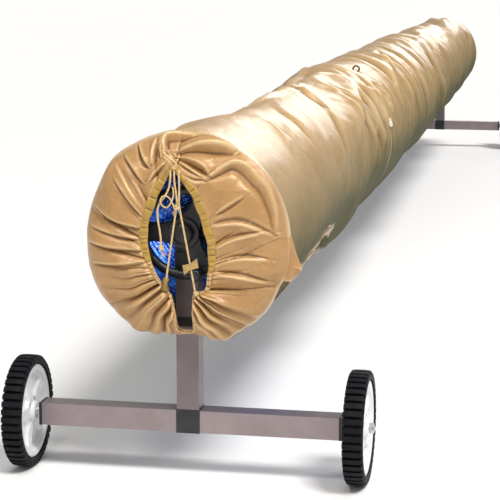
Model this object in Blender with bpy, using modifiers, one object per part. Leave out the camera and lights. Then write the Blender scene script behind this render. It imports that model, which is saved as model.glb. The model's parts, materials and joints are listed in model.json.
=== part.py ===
"""Swimming-pool cover reel: a blanket roller on two wheeled T-stands, under its storage cover.

Metres, +Z up. The origin is on the ground below the middle of the roller, the roller runs along Y
and the hand wheel is at the -Y end. Local Z of every turned piece is its own axis.
"""
import math

import bmesh
import bpy
from mathutils import Matrix, Vector

# ---- driving dimensions -------------------------------------------------------------------------
GAP = 0.0003                  # between touching pieces
STAND_Y = 2.600               # middle of the object to each stand
HUB_Z = 0.444                 # roller axis above the ground

SQUARE = 0.040                # side of the stands' square tube
WALL = 0.0018                 # its wall
TEE = 0.0424                  # side of the tee connector's block
BEAM_END = 0.2700             # stand centre to the end of a foot tube
CAP_THICK = 0.005
SPIGOT = SQUARE - 2 * WALL - 2 * GAP - 0.0001
SPIGOT_REACH = 0.050          # how far a spigot goes into its tube

WHEEL_RADIUS = 0.1016
TYRE_WIDTH = 0.036
HUB_RADIUS = 0.0842
HUB_WIDTH = 0.030
BORE_RADIUS = 0.0054
AXLE_RADIUS = 0.0050
SPACER_RADIUS = 0.0090
WHEEL_X = BEAM_END + CAP_THICK + 0.0285     # stand centre to the wheel's middle plane
BOSS_HALF = 0.0180            # half length of the wheel's centre boss
NUT_THICK = 0.0070

RING_RADIUS = 0.034           # bearing block
BLOCK_HALF = 0.0190
NECK_HEIGHT = 0.052           # sleeve between the bearing ring and the post
BUSH_RADIUS = 0.0205
SHAFT_RADIUS = 0.0155

TUBE_RADIUS = 0.0380          # outer sections of the roller tube
MIDDLE_TUBE_RADIUS = 0.0402
ROLLER_WALL = 0.0018
TUBE_END_Y = 2.545
MIDDLE_TUBE_HALF = 0.900
ROLL_RADIUS = 0.142
ROLL_HALF = 2.530

RIM_RADIUS = 0.0740           # hand wheel, to the middle of its rim
RIM_TUBE = 0.0085
HAND_WHEEL_OUT = 0.0355       # stand centre plane to the rim's plane
SPOKE_WIDTH = 0.036
KNOB_ANGLE = math.radians(-70)

COVER_Z = 0.436
COVER_FRONT_RADIUS = 0.184
COVER_MIDDLE_RADIUS = 0.180
COVER_REAR_RADIUS = 0.158
COVER_SAG = 0.008             # how far the middle of the cover hangs below its ends
COVER_THICK = 0.0015
COVER_END = 0.030             # stand centre plane to the seam between barrel and end panel
COVER_SEGMENTS = 40
PANEL_BULGE = 0.0875

STRAP_WIDTH = 0.025
STRAP_THICK = 0.0014
# Each strap's place along Y, then where it starts, where it stops and where its slider sits, in
# degrees up from +X.
STRAPS = {1: (-2.12, -118, -62, -90), 2: (-1.08, -118, 40, 16), 3: (0.56, -118, -62, -90),
          4: (1.90, -118, -62, -90)}

CORD_RADIUS = 0.00175
CORD_Y = -STAND_Y - 0.0935    # plane in which the drawcord hangs

COLOURS = {                   # base colour, roughness, metallic
    "stand_paint": ((0.36, 0.30, 0.30), 0.45, 0.6),
    "black_plastic": ((0.015, 0.015, 0.016), 0.45, 0.0),
    "white_plastic": ((0.82, 0.83, 0.84), 0.40, 0.0),
    "tyre": ((0.012, 0.013, 0.016), 0.60, 0.0),
    "zinc_steel": ((0.60, 0.60, 0.58), 0.30, 1.0),
    "aluminium": ((0.75, 0.76, 0.78), 0.35, 1.0),
    "blanket": ((0.03, 0.20, 0.80), 0.25, 0.0),
    "cover_fabric": ((0.62, 0.44, 0.22), 0.38, 0.0),
    "webbing": ((0.45, 0.31, 0.14), 0.75, 0.0),
    "buckle": ((0.75, 0.70, 0.60), 0.40, 0.0),
    "cord": ((0.72, 0.55, 0.32), 0.85, 0.0),
}

END_SIGN = {"front": -1, "rear": 1}
SIDE_SIGN = {"left": -1, "right": 1}


# ---- scene helpers ------------------------------------------------------------------------------
def clear_scene():
    for obj in list(bpy.data.objects):
        bpy.data.objects.remove(obj, do_unlink=True)


def new_collection(name):
    collection = bpy.data.collections.new(name)
    bpy.context.scene.collection.children.link(collection)
    return collection


def make_materials():
    materials = {}
    for name, (colour, roughness, metallic) in COLOURS.items():
        material = bpy.data.materials.new(name)
        material.use_nodes = True
        shader = material.node_tree.nodes["Principled BSDF"]
        shader.inputs["Base Color"].default_value = (*colour, 1.0)
        shader.inputs["Roughness"].default_value = roughness
        shader.inputs["Metallic"].default_value = metallic
        materials[name] = material
    return materials


clear_scene()
PARTS = new_collection("pool_cover_reel")
GUIDES = new_collection("guides")
MATERIALS = make_materials()

TO_X = {sign: Matrix.Rotation(sign * math.pi / 2, 4, "Y") for sign in (-1, 1)}
TO_Y = {sign: Matrix.Rotation(-sign * math.pi / 2, 4, "X") for sign in (-1, 1)}
UPRIGHT = Matrix.Identity(4)


def add(name, data, material, place, turn=UPRIGHT):
    """Link an object for a mesh or curve, turned and then moved to its place."""
    obj = bpy.data.objects.new(name, data)
    PARTS.objects.link(obj)
    obj.matrix_world = Matrix.Translation(place) @ turn
    data.materials.append(MATERIALS[material])
    return obj


def box_mesh(name, size, centre=(0, 0, 0)):
    mesh = bpy.data.meshes.new(name)
    shape = bmesh.new()
    fit = Matrix.Translation(centre) @ Matrix.Diagonal((*size, 1))
    bmesh.ops.create_cube(shape, size=1.0, matrix=fit)
    shape.to_mesh(mesh)
    shape.free()
    return mesh


def cylinder_mesh(name, radius, length, centre=(0, 0, 0), sides=32):
    mesh = bpy.data.meshes.new(name)
    shape = bmesh.new()
    bmesh.ops.create_cone(shape, cap_ends=True, segments=sides, radius1=radius, radius2=radius,
                          depth=length, matrix=Matrix.Translation(centre))
    shape.to_mesh(mesh)
    shape.free()
    return mesh


def smooth(mesh, angle=35):
    mesh.shade_smooth()
    mesh.set_sharp_from_angle(angle=math.radians(angle))


def turned(name, profile, material, place, turn, steps=32, closed=True):
    """Screw an (radius, height) profile about local Z; a closed profile leaves a bore."""
    mesh = bpy.data.meshes.new(name)
    points = [(radius, 0, height) for radius, height in profile]
    edges = [(i, i + 1) for i in range(len(points) - 1)]
    if closed:
        edges.append((len(points) - 1, 0))
    mesh.from_pydata(points, edges, [])
    obj = add(name, mesh, material, place, turn)
    screw = obj.modifiers.new("Screw", "SCREW")
    screw.steps = steps
    screw.render_steps = steps
    screw.use_smooth_shade = True
    screw.use_merge_vertices = True
    screw.merge_threshold = 0.00001
    return obj


def ring_profile(outer, inner, low, high):
    return [(inner, high), (outer, high), (outer, low), (inner, low)]


def combine(obj, mesh, place, turn, operation):
    """Boolean a guide mesh into obj, or out of it."""
    guide = bpy.data.objects.new(obj.name + "_guide", mesh)
    GUIDES.objects.link(guide)
    guide.matrix_world = Matrix.Translation(place) @ turn
    guide.hide_render = True
    guide.display_type = "WIRE"
    boolean = obj.modifiers.new("Boolean", "BOOLEAN")
    boolean.operation = operation
    boolean.solver = "EXACT"
    boolean.object = guide
    return guide


def cut(obj, mesh, place, turn=UPRIGHT):
    return combine(obj, mesh, place, turn, "DIFFERENCE")


def join(obj, mesh, place, turn=UPRIGHT):
    return combine(obj, mesh, place, turn, "UNION")


def outline_curve(name, outlines, depth):
    """A flat outline, with further outlines as holes, extruded along local Z about its middle."""
    curve = bpy.data.curves.new(name, "CURVE")
    curve.dimensions = "2D"
    curve.fill_mode = "BOTH"
    curve.extrude = depth / 2
    for outline in outlines:
        spline = curve.splines.new("POLY")
        spline.points.add(len(outline) - 1)
        for point, (x, y) in zip(spline.points, outline):
            point.co = (x, y, 0, 1)
        spline.use_cyclic_u = True
    return curve


def outline_mesh(name, outline, depth):
    """The same flat outline as a welded mesh, for a cutter."""
    curve = outline_curve(name, [outline], depth)
    holder = bpy.data.objects.new(name, curve)
    GUIDES.objects.link(holder)
    bpy.context.view_layer.update()
    graph = bpy.context.evaluated_depsgraph_get()
    mesh = bpy.data.meshes.new_from_object(holder.evaluated_get(graph))
    bpy.data.objects.remove(holder, do_unlink=True)
    shape = bmesh.new()
    shape.from_mesh(mesh)
    bmesh.ops.remove_doubles(shape, verts=shape.verts, dist=0.00001)
    bmesh.ops.recalc_face_normals(shape, faces=shape.faces)
    shape.to_mesh(mesh)
    shape.free()
    return mesh


def square_outline(side):
    half = side / 2
    return [(-half, -half), (half, -half), (half, half), (-half, half)]


def square_tube(name, length, place, turn=UPRIGHT):
    rings = [square_outline(SQUARE), square_outline(SQUARE - 2 * WALL)]
    return add(name, outline_curve(name, rings, length), "stand_paint", place, turn)


# ---- stands -------------------------------------------------------------------------------------
def make_tee(end, y):
    """Moulded tee whose three spigots plug into the foot tubes and the post."""
    centre = Vector((0, y, WHEEL_RADIUS))
    name = end + "_tee_connector"
    tee = add(name, box_mesh(name, (TEE, TEE, TEE)), "black_plastic", centre)
    foot_length = TEE + 2 * SPIGOT_REACH
    join(tee, box_mesh("foot_spigots", (foot_length, SPIGOT, SPIGOT)), centre)
    lift = (TEE + SPIGOT_REACH) / 2
    join(tee, box_mesh("post_spigot", (SPIGOT, SPIGOT, SPIGOT_REACH), (0, 0, lift)), centre)


def make_foot(end, side, y):
    """Half of a stand's foot: its square tube and the end cap that carries the axle."""
    sign = SIDE_SIGN[side]
    start = TEE / 2 + GAP
    middle = Vector((sign * (start + BEAM_END) / 2, y, WHEEL_RADIUS))
    square_tube(f"{end}_foot_tube_{side}", BEAM_END - start, middle, TO_X[sign])

    name = f"{end}_end_cap_{side}"
    cap_place = Vector((sign * (BEAM_END + GAP), y, WHEEL_RADIUS))
    flange = box_mesh(name, (SQUARE + 0.001, SQUARE + 0.001, CAP_THICK), (0, 0, CAP_THICK / 2))
    cap = add(name, flange, "black_plastic", cap_place, TO_X[sign])
    plug = box_mesh("plug", (SPIGOT, SPIGOT, 0.030), (0, 0, -0.013))
    join(cap, plug, cap_place, TO_X[sign])
    bore = cylinder_mesh("axle_hole", AXLE_RADIUS + GAP, 0.080, (0, 0, 0), 16)
    cut(cap, bore, cap_place, TO_X[sign])


def make_post(end, y):
    """Upright square tube between the tee and the bearing block."""
    low = WHEEL_RADIUS + TEE / 2 + GAP
    high = HUB_Z - RING_RADIUS - NECK_HEIGHT - GAP
    square_tube(end + "_post", high - low, (0, y, (low + high) / 2))


def make_bearing(end, y):
    """Moulded bearing block with its sleeve on the post, and the white bush pressed into it."""
    axis = Vector((0, y, HUB_Z))
    name = end + "_bearing_block"
    ring = cylinder_mesh(name, RING_RADIUS, 2 * BLOCK_HALF)
    block = add(name, ring, "black_plastic", axis, TO_Y[1])
    neck_low = HUB_Z - RING_RADIUS - NECK_HEIGHT
    neck_size = (TEE, 2 * BLOCK_HALF - 0.002, NECK_HEIGHT + 0.020)
    neck = box_mesh("neck", neck_size, (0, 0, neck_size[2] / 2))
    join(block, neck, (0, y, neck_low))
    sleeve_height = NECK_HEIGHT - 0.004
    sleeve = box_mesh("sleeve", (TEE, TEE, sleeve_height), (0, 0, sleeve_height / 2))
    join(block, sleeve, (0, y, neck_low))
    plug = box_mesh("post_plug", (SPIGOT, SPIGOT, 0.045), (0, 0, -0.0175))
    join(block, plug, (0, y, neck_low))
    cut(block, cylinder_mesh("bore", BUSH_RADIUS + 0.0005, 0.10), axis, TO_Y[1])
    smooth(block.data)

    high = BLOCK_HALF + 0.0025
    bush = [(SHAFT_RADIUS + 0.0004, high), (0.0260, high), (0.0260, BLOCK_HALF + GAP + 0.0002),
            (BUSH_RADIUS, BLOCK_HALF + GAP + 0.0002), (BUSH_RADIUS, -BLOCK_HALF),
            (SHAFT_RADIUS + 0.0004, -BLOCK_HALF)]
    turned(end + "_bearing_bush", bush, "white_plastic", axis, TO_Y[END_SIGN[end]], 24)


# ---- wheels -------------------------------------------------------------------------------------
def hub_profile():
    """Dished hub: centre boss, thin web and flanged rim, as (radius, height) pairs."""
    rim = HUB_WIDTH / 2
    inner = HUB_RADIUS - 0.005
    web = 0.0025
    return [(BORE_RADIUS, BOSS_HALF), (0.0150, BOSS_HALF), (0.0175, web), (inner - 0.006, web),
            (inner, rim), (HUB_RADIUS, rim), (HUB_RADIUS, -rim), (inner, -rim),
            (inner - 0.006, -web), (0.0175, -web), (0.0150, -BOSS_HALF), (BORE_RADIUS, -BOSS_HALF)]


def tyre_profile():
    """Flat tread with chamfered shoulders."""
    half = TYRE_WIDTH / 2
    inner = HUB_RADIUS + GAP + 0.0002
    return [(inner, half - 0.003), (WHEEL_RADIUS - 0.006, half), (WHEEL_RADIUS, half - 0.006),
            (WHEEL_RADIUS, -half + 0.006), (WHEEL_RADIUS - 0.006, -half), (inner, -half + 0.003)]


def make_wheel(end, side, y):
    """Wheel hub and tyre on a shoulder bolt that is screwed into the foot's end cap."""
    sign = SIDE_SIGN[side]
    name = f"{end}_wheel_{side}"
    centre = Vector((sign * WHEEL_X, y, WHEEL_RADIUS))
    turned(name + "_hub", hub_profile(), "white_plastic", centre, TO_X[sign], 24)
    turned(name + "_tyre", tyre_profile(), "tyre", centre, TO_X[sign], 36)

    cap_face = BEAM_END + GAP + CAP_THICK - WHEEL_X
    nut_low = BOSS_HALF + 0.0008
    tip = nut_low + NUT_THICK + 0.002
    bolt = [(0, tip), (AXLE_RADIUS, tip), (AXLE_RADIUS, -BOSS_HALF - GAP),
            (SPACER_RADIUS, -BOSS_HALF - GAP), (SPACER_RADIUS, cap_face + GAP),
            (AXLE_RADIUS, cap_face + GAP), (AXLE_RADIUS, cap_face - 0.030), (0, cap_face - 0.030)]
    turned(f"{end}_axle_bolt_{side}", bolt, "zinc_steel", centre, TO_X[sign], 12, False)
    nut = ring_profile(0.0095, AXLE_RADIUS + 0.0004, nut_low, nut_low + NUT_THICK)
    turned(f"{end}_axle_nut_{side}", nut, "zinc_steel", centre, TO_X[sign], 12)


# ---- reel ---------------------------------------------------------------------------------------
def make_roller_tubes():
    """Three telescoping aluminium sections; the outer two slide into the middle one."""
    axis = Vector((0, 0, HUB_Z))
    inner = MIDDLE_TUBE_RADIUS - ROLLER_WALL
    middle = ring_profile(MIDDLE_TUBE_RADIUS, inner, -MIDDLE_TUBE_HALF, MIDDLE_TUBE_HALF)
    turned("roller_tube_middle", middle, "aluminium", axis, TO_Y[1])
    overlap_start = MIDDLE_TUBE_HALF - 0.25
    for end, sign in END_SIGN.items():
        sleeve = ring_profile(TUBE_RADIUS, TUBE_RADIUS - ROLLER_WALL, overlap_start, TUBE_END_Y)
        turned("roller_tube_" + end, sleeve, "aluminium", axis, TO_Y[sign])


def make_tube_end(end):
    """Moulded plug in the end of the roller tube and the steel stub shaft that it holds."""
    sign = END_SIGN[end]
    place = Vector((0, sign * TUBE_END_Y, HUB_Z))
    inner = TUBE_RADIUS - ROLLER_WALL - GAP - 0.0002
    bore = SHAFT_RADIUS + GAP + 0.0001
    plug = [(bore, 0.006), (TUBE_RADIUS, 0.006), (TUBE_RADIUS, GAP), (inner, GAP),
            (inner, -0.050), (bore, -0.050)]
    turned(end + "_tube_plug", plug, "black_plastic", place, TO_Y[sign], 24)

    stand = STAND_Y - TUBE_END_Y
    shoulder = stand + BLOCK_HALF + 0.0032
    tip = shoulder + 0.034
    if end == "rear":
        tip = shoulder + 0.012
    shaft = [(0, tip), (0.0100, tip), (0.0100, shoulder), (SHAFT_RADIUS, shoulder),
             (SHAFT_RADIUS, -0.048), (0, -0.048)]
    turned(end + "_stub_shaft", shaft, "zinc_steel", place, TO_Y[sign], 24, False)
    return shoulder - stand


def make_blanket_roll():
    """The rolled bubble blanket, wound on the tube sections."""
    bore = MIDDLE_TUBE_RADIUS + GAP + 0.0002
    edge = 0.010
    profile = [(bore, ROLL_HALF), (ROLL_RADIUS - edge, ROLL_HALF), (ROLL_RADIUS, ROLL_HALF - edge),
               (ROLL_RADIUS, edge - ROLL_HALF), (ROLL_RADIUS - edge, -ROLL_HALF),
               (bore, -ROLL_HALF)]
    turned("solar_blanket_roll", profile, "blanket", (0, 0, HUB_Z), TO_Y[1], 40)


def make_hand_wheel():
    """Three-spoked hand wheel, its nut, and the spinner knob on its screw."""
    centre = Vector((0, -STAND_Y - HAND_WHEEL_OUT, HUB_Z))
    turn = TO_Y[-1]
    mesh = bpy.data.meshes.new("hand_wheel")
    rim = bpy.data.objects.new("hand_wheel", mesh)
    PARTS.objects.link(rim)
    rim.matrix_world = Matrix.Translation(centre) @ turn
    mesh.materials.append(MATERIALS["black_plastic"])
    circle = [(RIM_RADIUS + RIM_TUBE * math.cos(a), 0, -RIM_TUBE * math.sin(a))
              for a in (2 * math.pi * i / 10 for i in range(10))]
    mesh.from_pydata(circle, [(i, (i + 1) % 10) for i in range(10)], [])
    screw = rim.modifiers.new("Screw", "SCREW")
    screw.steps = 32
    screw.render_steps = 32
    screw.use_merge_vertices = True
    screw.merge_threshold = 0.00001

    join(rim, cylinder_mesh("boss", 0.0280, 0.0200), centre, turn)
    for spoke in range(3):
        angle = math.radians(60 + 120 * spoke)
        arm = box_mesh("spoke", (RIM_RADIUS, SPOKE_WIDTH, 0.0080), (RIM_RADIUS / 2, 0, 0))
        join(rim, arm, centre, Matrix.Rotation(-angle, 4, "Y") @ TO_Y[-1])
    knob_place = centre + RIM_RADIUS * Vector((math.cos(KNOB_ANGLE), 0, math.sin(KNOB_ANGLE)))
    join(rim, cylinder_mesh("knob_boss", 0.0120, 0.0190, (0, 0, 0), 20), knob_place, turn)
    cut(rim, cylinder_mesh("shaft_hole", 0.0104, 0.10), centre, turn)
    cut(rim, cylinder_mesh("screw_hole", 0.0037, 0.10, (0, 0, 0), 16), knob_place, turn)

    nut_low = 0.0100 + GAP
    nut = ring_profile(0.0160, 0.0108, nut_low, nut_low + 0.0090)
    turned("hand_wheel_nut", nut, "zinc_steel", centre, turn, 12)

    low = 0.0095 + GAP
    high = low + 0.0280
    grip = [(0.0038, high), (0.0090, high), (0.0115, high - 0.004), (0.0105, low + 0.006),
            (0.0085, low), (0.0038, low)]
    turned("hand_wheel_knob", grip, "black_plastic", knob_place, turn, 16)
    head = high + GAP
    pin = [(0, head + 0.003), (0.0065, head + 0.003), (0.0065, head), (0.0033, head),
           (0.0033, -0.0095), (0, -0.0095)]
    turned("knob_screw", pin, "zinc_steel", knob_place, turn, 12, False)


def make_rear_collar(shaft_step):
    """Retaining collar on the rear shaft's end."""
    place = Vector((0, STAND_Y + shaft_step, HUB_Z))
    turned("rear_shaft_collar", ring_profile(0.0230, 0.0104, GAP, 0.0100), "black_plastic",
           place, TO_Y[1], 24)


# ---- storage cover ------------------------------------------------------------------------------
def cover_section(y):
    """Radius and centre height of the cover, which is fuller and lower in its middle."""
    share = abs(y) / (STAND_Y + COVER_END)
    end_radius = COVER_REAR_RADIUS
    if y < 0:
        end_radius = COVER_FRONT_RADIUS
    radius = COVER_MIDDLE_RADIUS + share * (end_radius - COVER_MIDDLE_RADIUS)
    return radius, COVER_Z - COVER_SAG * (1 - share)


def make_cover_barrel():
    """Open tube of fabric round the roll, split along its underside."""
    mesh = bpy.data.meshes.new("cover_barrel")
    shape = bmesh.new()
    bmesh.ops.create_cone(shape, cap_ends=False, segments=COVER_SEGMENTS,
                          radius1=COVER_FRONT_RADIUS, radius2=COVER_REAR_RADIUS,
                          depth=2 * (STAND_Y + COVER_END))
    everything = shape.verts[:] + shape.edges[:] + shape.faces[:]
    bmesh.ops.bisect_plane(shape, geom=everything, plane_co=(0, 0, 0), plane_no=(0, 0, 1))
    for vertex in shape.verts:
        if abs(vertex.co.z) < 0.001:
            vertex.co.xy = vertex.co.xy.normalized() * COVER_MIDDLE_RADIUS
            vertex.co.y += COVER_SAG
    slot = 0.058
    underside = [f for f in shape.faces
                 if f.calc_center_median().y > 0 and abs(f.calc_center_median().x) < slot]
    bmesh.ops.delete(shape, geom=underside, context="FACES")
    shape.to_mesh(mesh)
    shape.free()
    smooth(mesh)
    barrel = add("cover_barrel", mesh, "cover_fabric", (0, 0, COVER_Z), TO_Y[1])
    shell = barrel.modifiers.new("Solidify", "SOLIDIFY")
    shell.thickness = COVER_THICK
    shell.offset = -1


def opening_outline(scale):
    """Teardrop opening of an end panel, about the panel's centre, pointed at the top."""
    half = [(0.022, 0.090), (0.043, 0.040), (0.051, -0.005), (0.044, -0.050), (0.028, -0.092),
            (0.017, -0.125)]
    right = [(0.0, 0.137)] + half + [(0.0, -0.141)]
    left = [(-x, z) for x, z in reversed(half)]
    return [(scale * x, scale * z) for x, z in right + left]


def make_end_panel(end, radius):
    """Domed fabric end with its drawcord opening, round which the hem is gathered."""
    sign = END_SIGN[end]
    scale = radius / COVER_FRONT_RADIUS
    rim = COVER_END + 0.001
    dome = [(0.0, PANEL_BULGE), (0.100, PANEL_BULGE - 0.0005), (0.130, PANEL_BULGE - 0.006),
            (0.158, PANEL_BULGE - 0.019), (0.177, PANEL_BULGE - 0.036), (0.184, rim)]
    profile = [(scale * r, height) for r, height in dome]
    place = Vector((0, sign * STAND_Y, COVER_Z))
    panel = turned(end + "_cover_panel", profile, "cover_fabric", place, TO_Y[sign], 40, False)
    shell = panel.modifiers.new("Solidify", "SOLIDIFY")
    shell.thickness = COVER_THICK
    shell.offset = -1
    outline = opening_outline(scale)
    cutter = outline_mesh("opening", outline, 0.20)
    cut(panel, cutter, place, Matrix.Rotation(math.pi / 2, 4, "X"))


def strap_point(y, angle, lift):
    radius, centre = cover_section(y)
    radius += lift
    return Vector((radius * math.cos(angle), y, centre + radius * math.sin(angle)))


def make_strap(number):
    """Webbing strap from the left of the underside opening, across it to the right flank."""
    name = f"underside_strap_{number}"
    y = STRAPS[number][0]
    start, stop, slider_angle = (math.radians(degrees) for degrees in STRAPS[number][1:])
    steps = 18
    mesh = bpy.data.meshes.new(name)
    shape = bmesh.new()
    rows = []
    for i in range(steps + 1):
        angle = start + (stop - start) * i / steps
        near_end = i in (0, steps)
        lift = 0.0007 if near_end else 0.0046
        low = strap_point(y, angle, lift)
        rows.append([shape.verts.new(low + Vector((0, side * STRAP_WIDTH / 2, 0)))
                     for side in (-1, 1)])
    for lower, upper in zip(rows, rows[1:]):
        shape.faces.new((lower[0], lower[1], upper[1], upper[0]))
    bmesh.ops.recalc_face_normals(shape, faces=shape.faces)
    shape.to_mesh(mesh)
    shape.free()
    strap = add(name, mesh, "webbing", (0, 0, 0))
    shell = strap.modifiers.new("Solidify", "SOLIDIFY")
    shell.thickness = STRAP_THICK
    shell.offset = 0

    slider_name = f"strap_slider_{number}"
    frame = box_mesh(slider_name, (0.0070, 0.036, 0.022))
    turn = Matrix.Rotation(-slider_angle, 4, "Y")
    place = strap_point(y, slider_angle, 0.0045)
    slider = add(slider_name, frame, "buckle", place, turn)
    slot = box_mesh("slot", (0.0034, STRAP_WIDTH + 0.002, 0.10))
    cut(slider, slot, place, turn)


# ---- drawcord -----------------------------------------------------------------------------------
def smooth_route(points, spacing):
    """Points read at an even spacing from a smooth curve through the given ones."""
    ends = [2 * points[0] - points[1]] + points + [2 * points[-1] - points[-2]]
    fine = []
    for a, b, c, d in zip(ends, ends[1:], ends[2:], ends[3:]):
        for i in range(20):
            t = i / 20
            fine.append(0.5 * (2 * b + (c - a) * t + (2 * a - 5 * b + 4 * c - d) * t * t
                               + (3 * b - a - 3 * c + d) * t ** 3))
    fine.append(points[-1])
    lengths = [0.0]
    for a, b in zip(fine, fine[1:]):
        lengths.append(lengths[-1] + (b - a).length)
    count = max(2, round(lengths[-1] / spacing))
    route = []
    index = 0
    for i in range(count + 1):
        target = lengths[-1] * i / count
        while index < len(fine) - 2 and lengths[index + 1] < target:
            index += 1
        share = (target - lengths[index]) / max(lengths[index + 1] - lengths[index], 1e-9)
        route.append(fine[index].lerp(fine[index + 1], min(share, 1.0)))
    return route


# Each route is (x from the centre, distance in front of CORD_Y, height above the ground).
CORD_ROUTES = {
    "drawcord_left": [(-0.004, 0.000, 0.560), (-0.003, 0.002, 0.540), (0.000, 0.003, 0.520),
                      (0.001, 0.003, 0.502), (-0.003, 0.003, 0.475), (-0.010, 0.002, 0.430),
                      (-0.017, 0.001, 0.385), (-0.021, 0.000, 0.356)],
    "drawcord_right": [(0.004, 0.000, 0.560), (0.005, 0.002, 0.540), (0.0052, 0.003, 0.520),
                       (0.0052, 0.003, 0.500), (0.0115, 0.003, 0.4653), (0.0178, 0.003, 0.4306),
                       (0.0241, 0.003, 0.3959), (0.0304, 0.003, 0.3612), (0.033, 0.001, 0.347)],
    "drawcord_tail": [(-0.010, 0.000, 0.560), (-0.010, 0.003, 0.545), (-0.012, 0.006, 0.530),
                      (-0.019, 0.008, 0.515), (-0.026, 0.008, 0.506), (-0.031, 0.008, 0.494),
                      (-0.031, 0.007, 0.475), (-0.028, 0.006, 0.455), (-0.026, 0.006, 0.436),
                      (-0.025, 0.006, 0.420)],
}
TOGGLE_MIDDLE = Vector((0.0241, CORD_Y - 0.003, 0.3959))
TOGGLE_AXIS = Vector((0.0063, 0.0, -0.0347)).normalized()


def make_cord(name, route):
    """Braided drawcord as a plain tube along its route."""
    guide = [Vector((x, CORD_Y - forward, height)) for x, forward, height in route]
    points = smooth_route(guide, 6 * CORD_RADIUS)
    curve = bpy.data.curves.new(name, "CURVE")
    curve.dimensions = "3D"
    curve.bevel_depth = CORD_RADIUS
    curve.bevel_resolution = 2
    curve.use_fill_caps = True
    spline = curve.splines.new("POLY")
    spline.points.add(len(points) - 1)
    for point, position in zip(spline.points, points):
        point.co = (*position, 1)
    add(name, curve, "cord", (0, 0, 0))


def make_toggle():
    """Bow-tie tab that slides on the right-hand drawcord."""
    bow = [(-0.014, -0.0085), (-0.0045, -0.0050), (0.0045, -0.0050), (0.014, -0.0085),
           (0.014, 0.0085), (0.0045, 0.0050), (-0.0045, 0.0050), (-0.014, 0.0085)]
    lean = math.atan2(TOGGLE_AXIS.x, -TOGGLE_AXIS.z)
    turn = Matrix.Rotation(-lean, 4, "Y") @ Matrix.Rotation(math.pi / 2, 4, "X")
    mesh = outline_mesh("drawcord_toggle", bow, 0.0075)
    toggle = add("drawcord_toggle", mesh, "webbing", TOGGLE_MIDDLE, turn)
    cord_turn = Matrix.Rotation(-lean, 4, "Y")
    hole = cylinder_mesh("cord_hole", CORD_RADIUS + 0.0006, 0.05, (0, 0, 0), 16)
    cut(toggle, hole, TOGGLE_MIDDLE, cord_turn)


# ---- assembly -----------------------------------------------------------------------------------
def main():
    for end, sign in END_SIGN.items():
        y = sign * STAND_Y
        make_tee(end, y)
        make_post(end, y)
        make_bearing(end, y)
        for side in SIDE_SIGN:
            make_foot(end, side, y)
            make_wheel(end, side, y)
    make_roller_tubes()
    make_blanket_roll()
    make_tube_end("front")
    make_rear_collar(make_tube_end("rear"))
    make_hand_wheel()
    make_cover_barrel()
    make_end_panel("front", COVER_FRONT_RADIUS)
    make_end_panel("rear", COVER_REAR_RADIUS)
    for number in STRAPS:
        make_strap(number)
    for name, route in CORD_ROUTES.items():
        make_cord(name, route)
    make_toggle()


main()
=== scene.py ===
"""Looks for the pool cover reel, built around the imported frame. Metres, +Z up.

The roller runs along Y with the hand wheel at the -Y end, and the origin is on the ground below the
middle of the roller.
"""
import json
import math

import bpy
import numpy as np
from mathutils import Matrix, Vector


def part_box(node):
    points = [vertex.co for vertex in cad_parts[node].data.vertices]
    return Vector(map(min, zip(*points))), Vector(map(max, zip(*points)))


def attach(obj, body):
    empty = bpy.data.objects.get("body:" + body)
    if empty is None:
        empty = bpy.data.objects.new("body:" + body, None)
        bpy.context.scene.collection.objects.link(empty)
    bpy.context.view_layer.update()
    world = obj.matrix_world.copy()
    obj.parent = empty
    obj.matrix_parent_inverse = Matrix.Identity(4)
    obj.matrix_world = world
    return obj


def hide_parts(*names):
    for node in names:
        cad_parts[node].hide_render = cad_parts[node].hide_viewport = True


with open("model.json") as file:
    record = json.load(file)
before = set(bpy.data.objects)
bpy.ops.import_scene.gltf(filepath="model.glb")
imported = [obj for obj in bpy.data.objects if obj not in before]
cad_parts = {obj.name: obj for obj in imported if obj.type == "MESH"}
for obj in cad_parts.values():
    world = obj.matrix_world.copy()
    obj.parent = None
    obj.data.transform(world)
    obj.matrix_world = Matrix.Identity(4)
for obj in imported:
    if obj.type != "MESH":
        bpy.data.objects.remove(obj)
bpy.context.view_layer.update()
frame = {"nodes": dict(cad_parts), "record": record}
NODES = frame["nodes"]
ROOT = "stands_and_cover"
scene = bpy.context.scene

STAND_Y = 2.600
HUB_Z = 0.444
COVER_Z = 0.436
COVER_HALF = 2.630
SEAM_Y = 0.877
CORD_RADIUS = 0.00175
CORD_Y = -2.6935
FABRIC = 0.0012
MM = 0.001
SEAM_OUT = 0.031  # from the stand's middle out to the seams of the end panels
MEAN_RADIUS = 0.18  # turns angles round the cover into lengths
ROLL_END = 2.56
ROLL_CLEAR = 0.1465  # the barrel's cloth comes no closer to the roll's axis
ALONG = np.array([0.0, 1.0, 0.0])  # the direction of the reel, from the hand wheel to the rear
UP = np.array([0.0, 0.0, 1.0])
SHADE_LINE = (0.620, 0.385)  # heights where the painted shade of the lower flanks starts and where it is full
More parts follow.
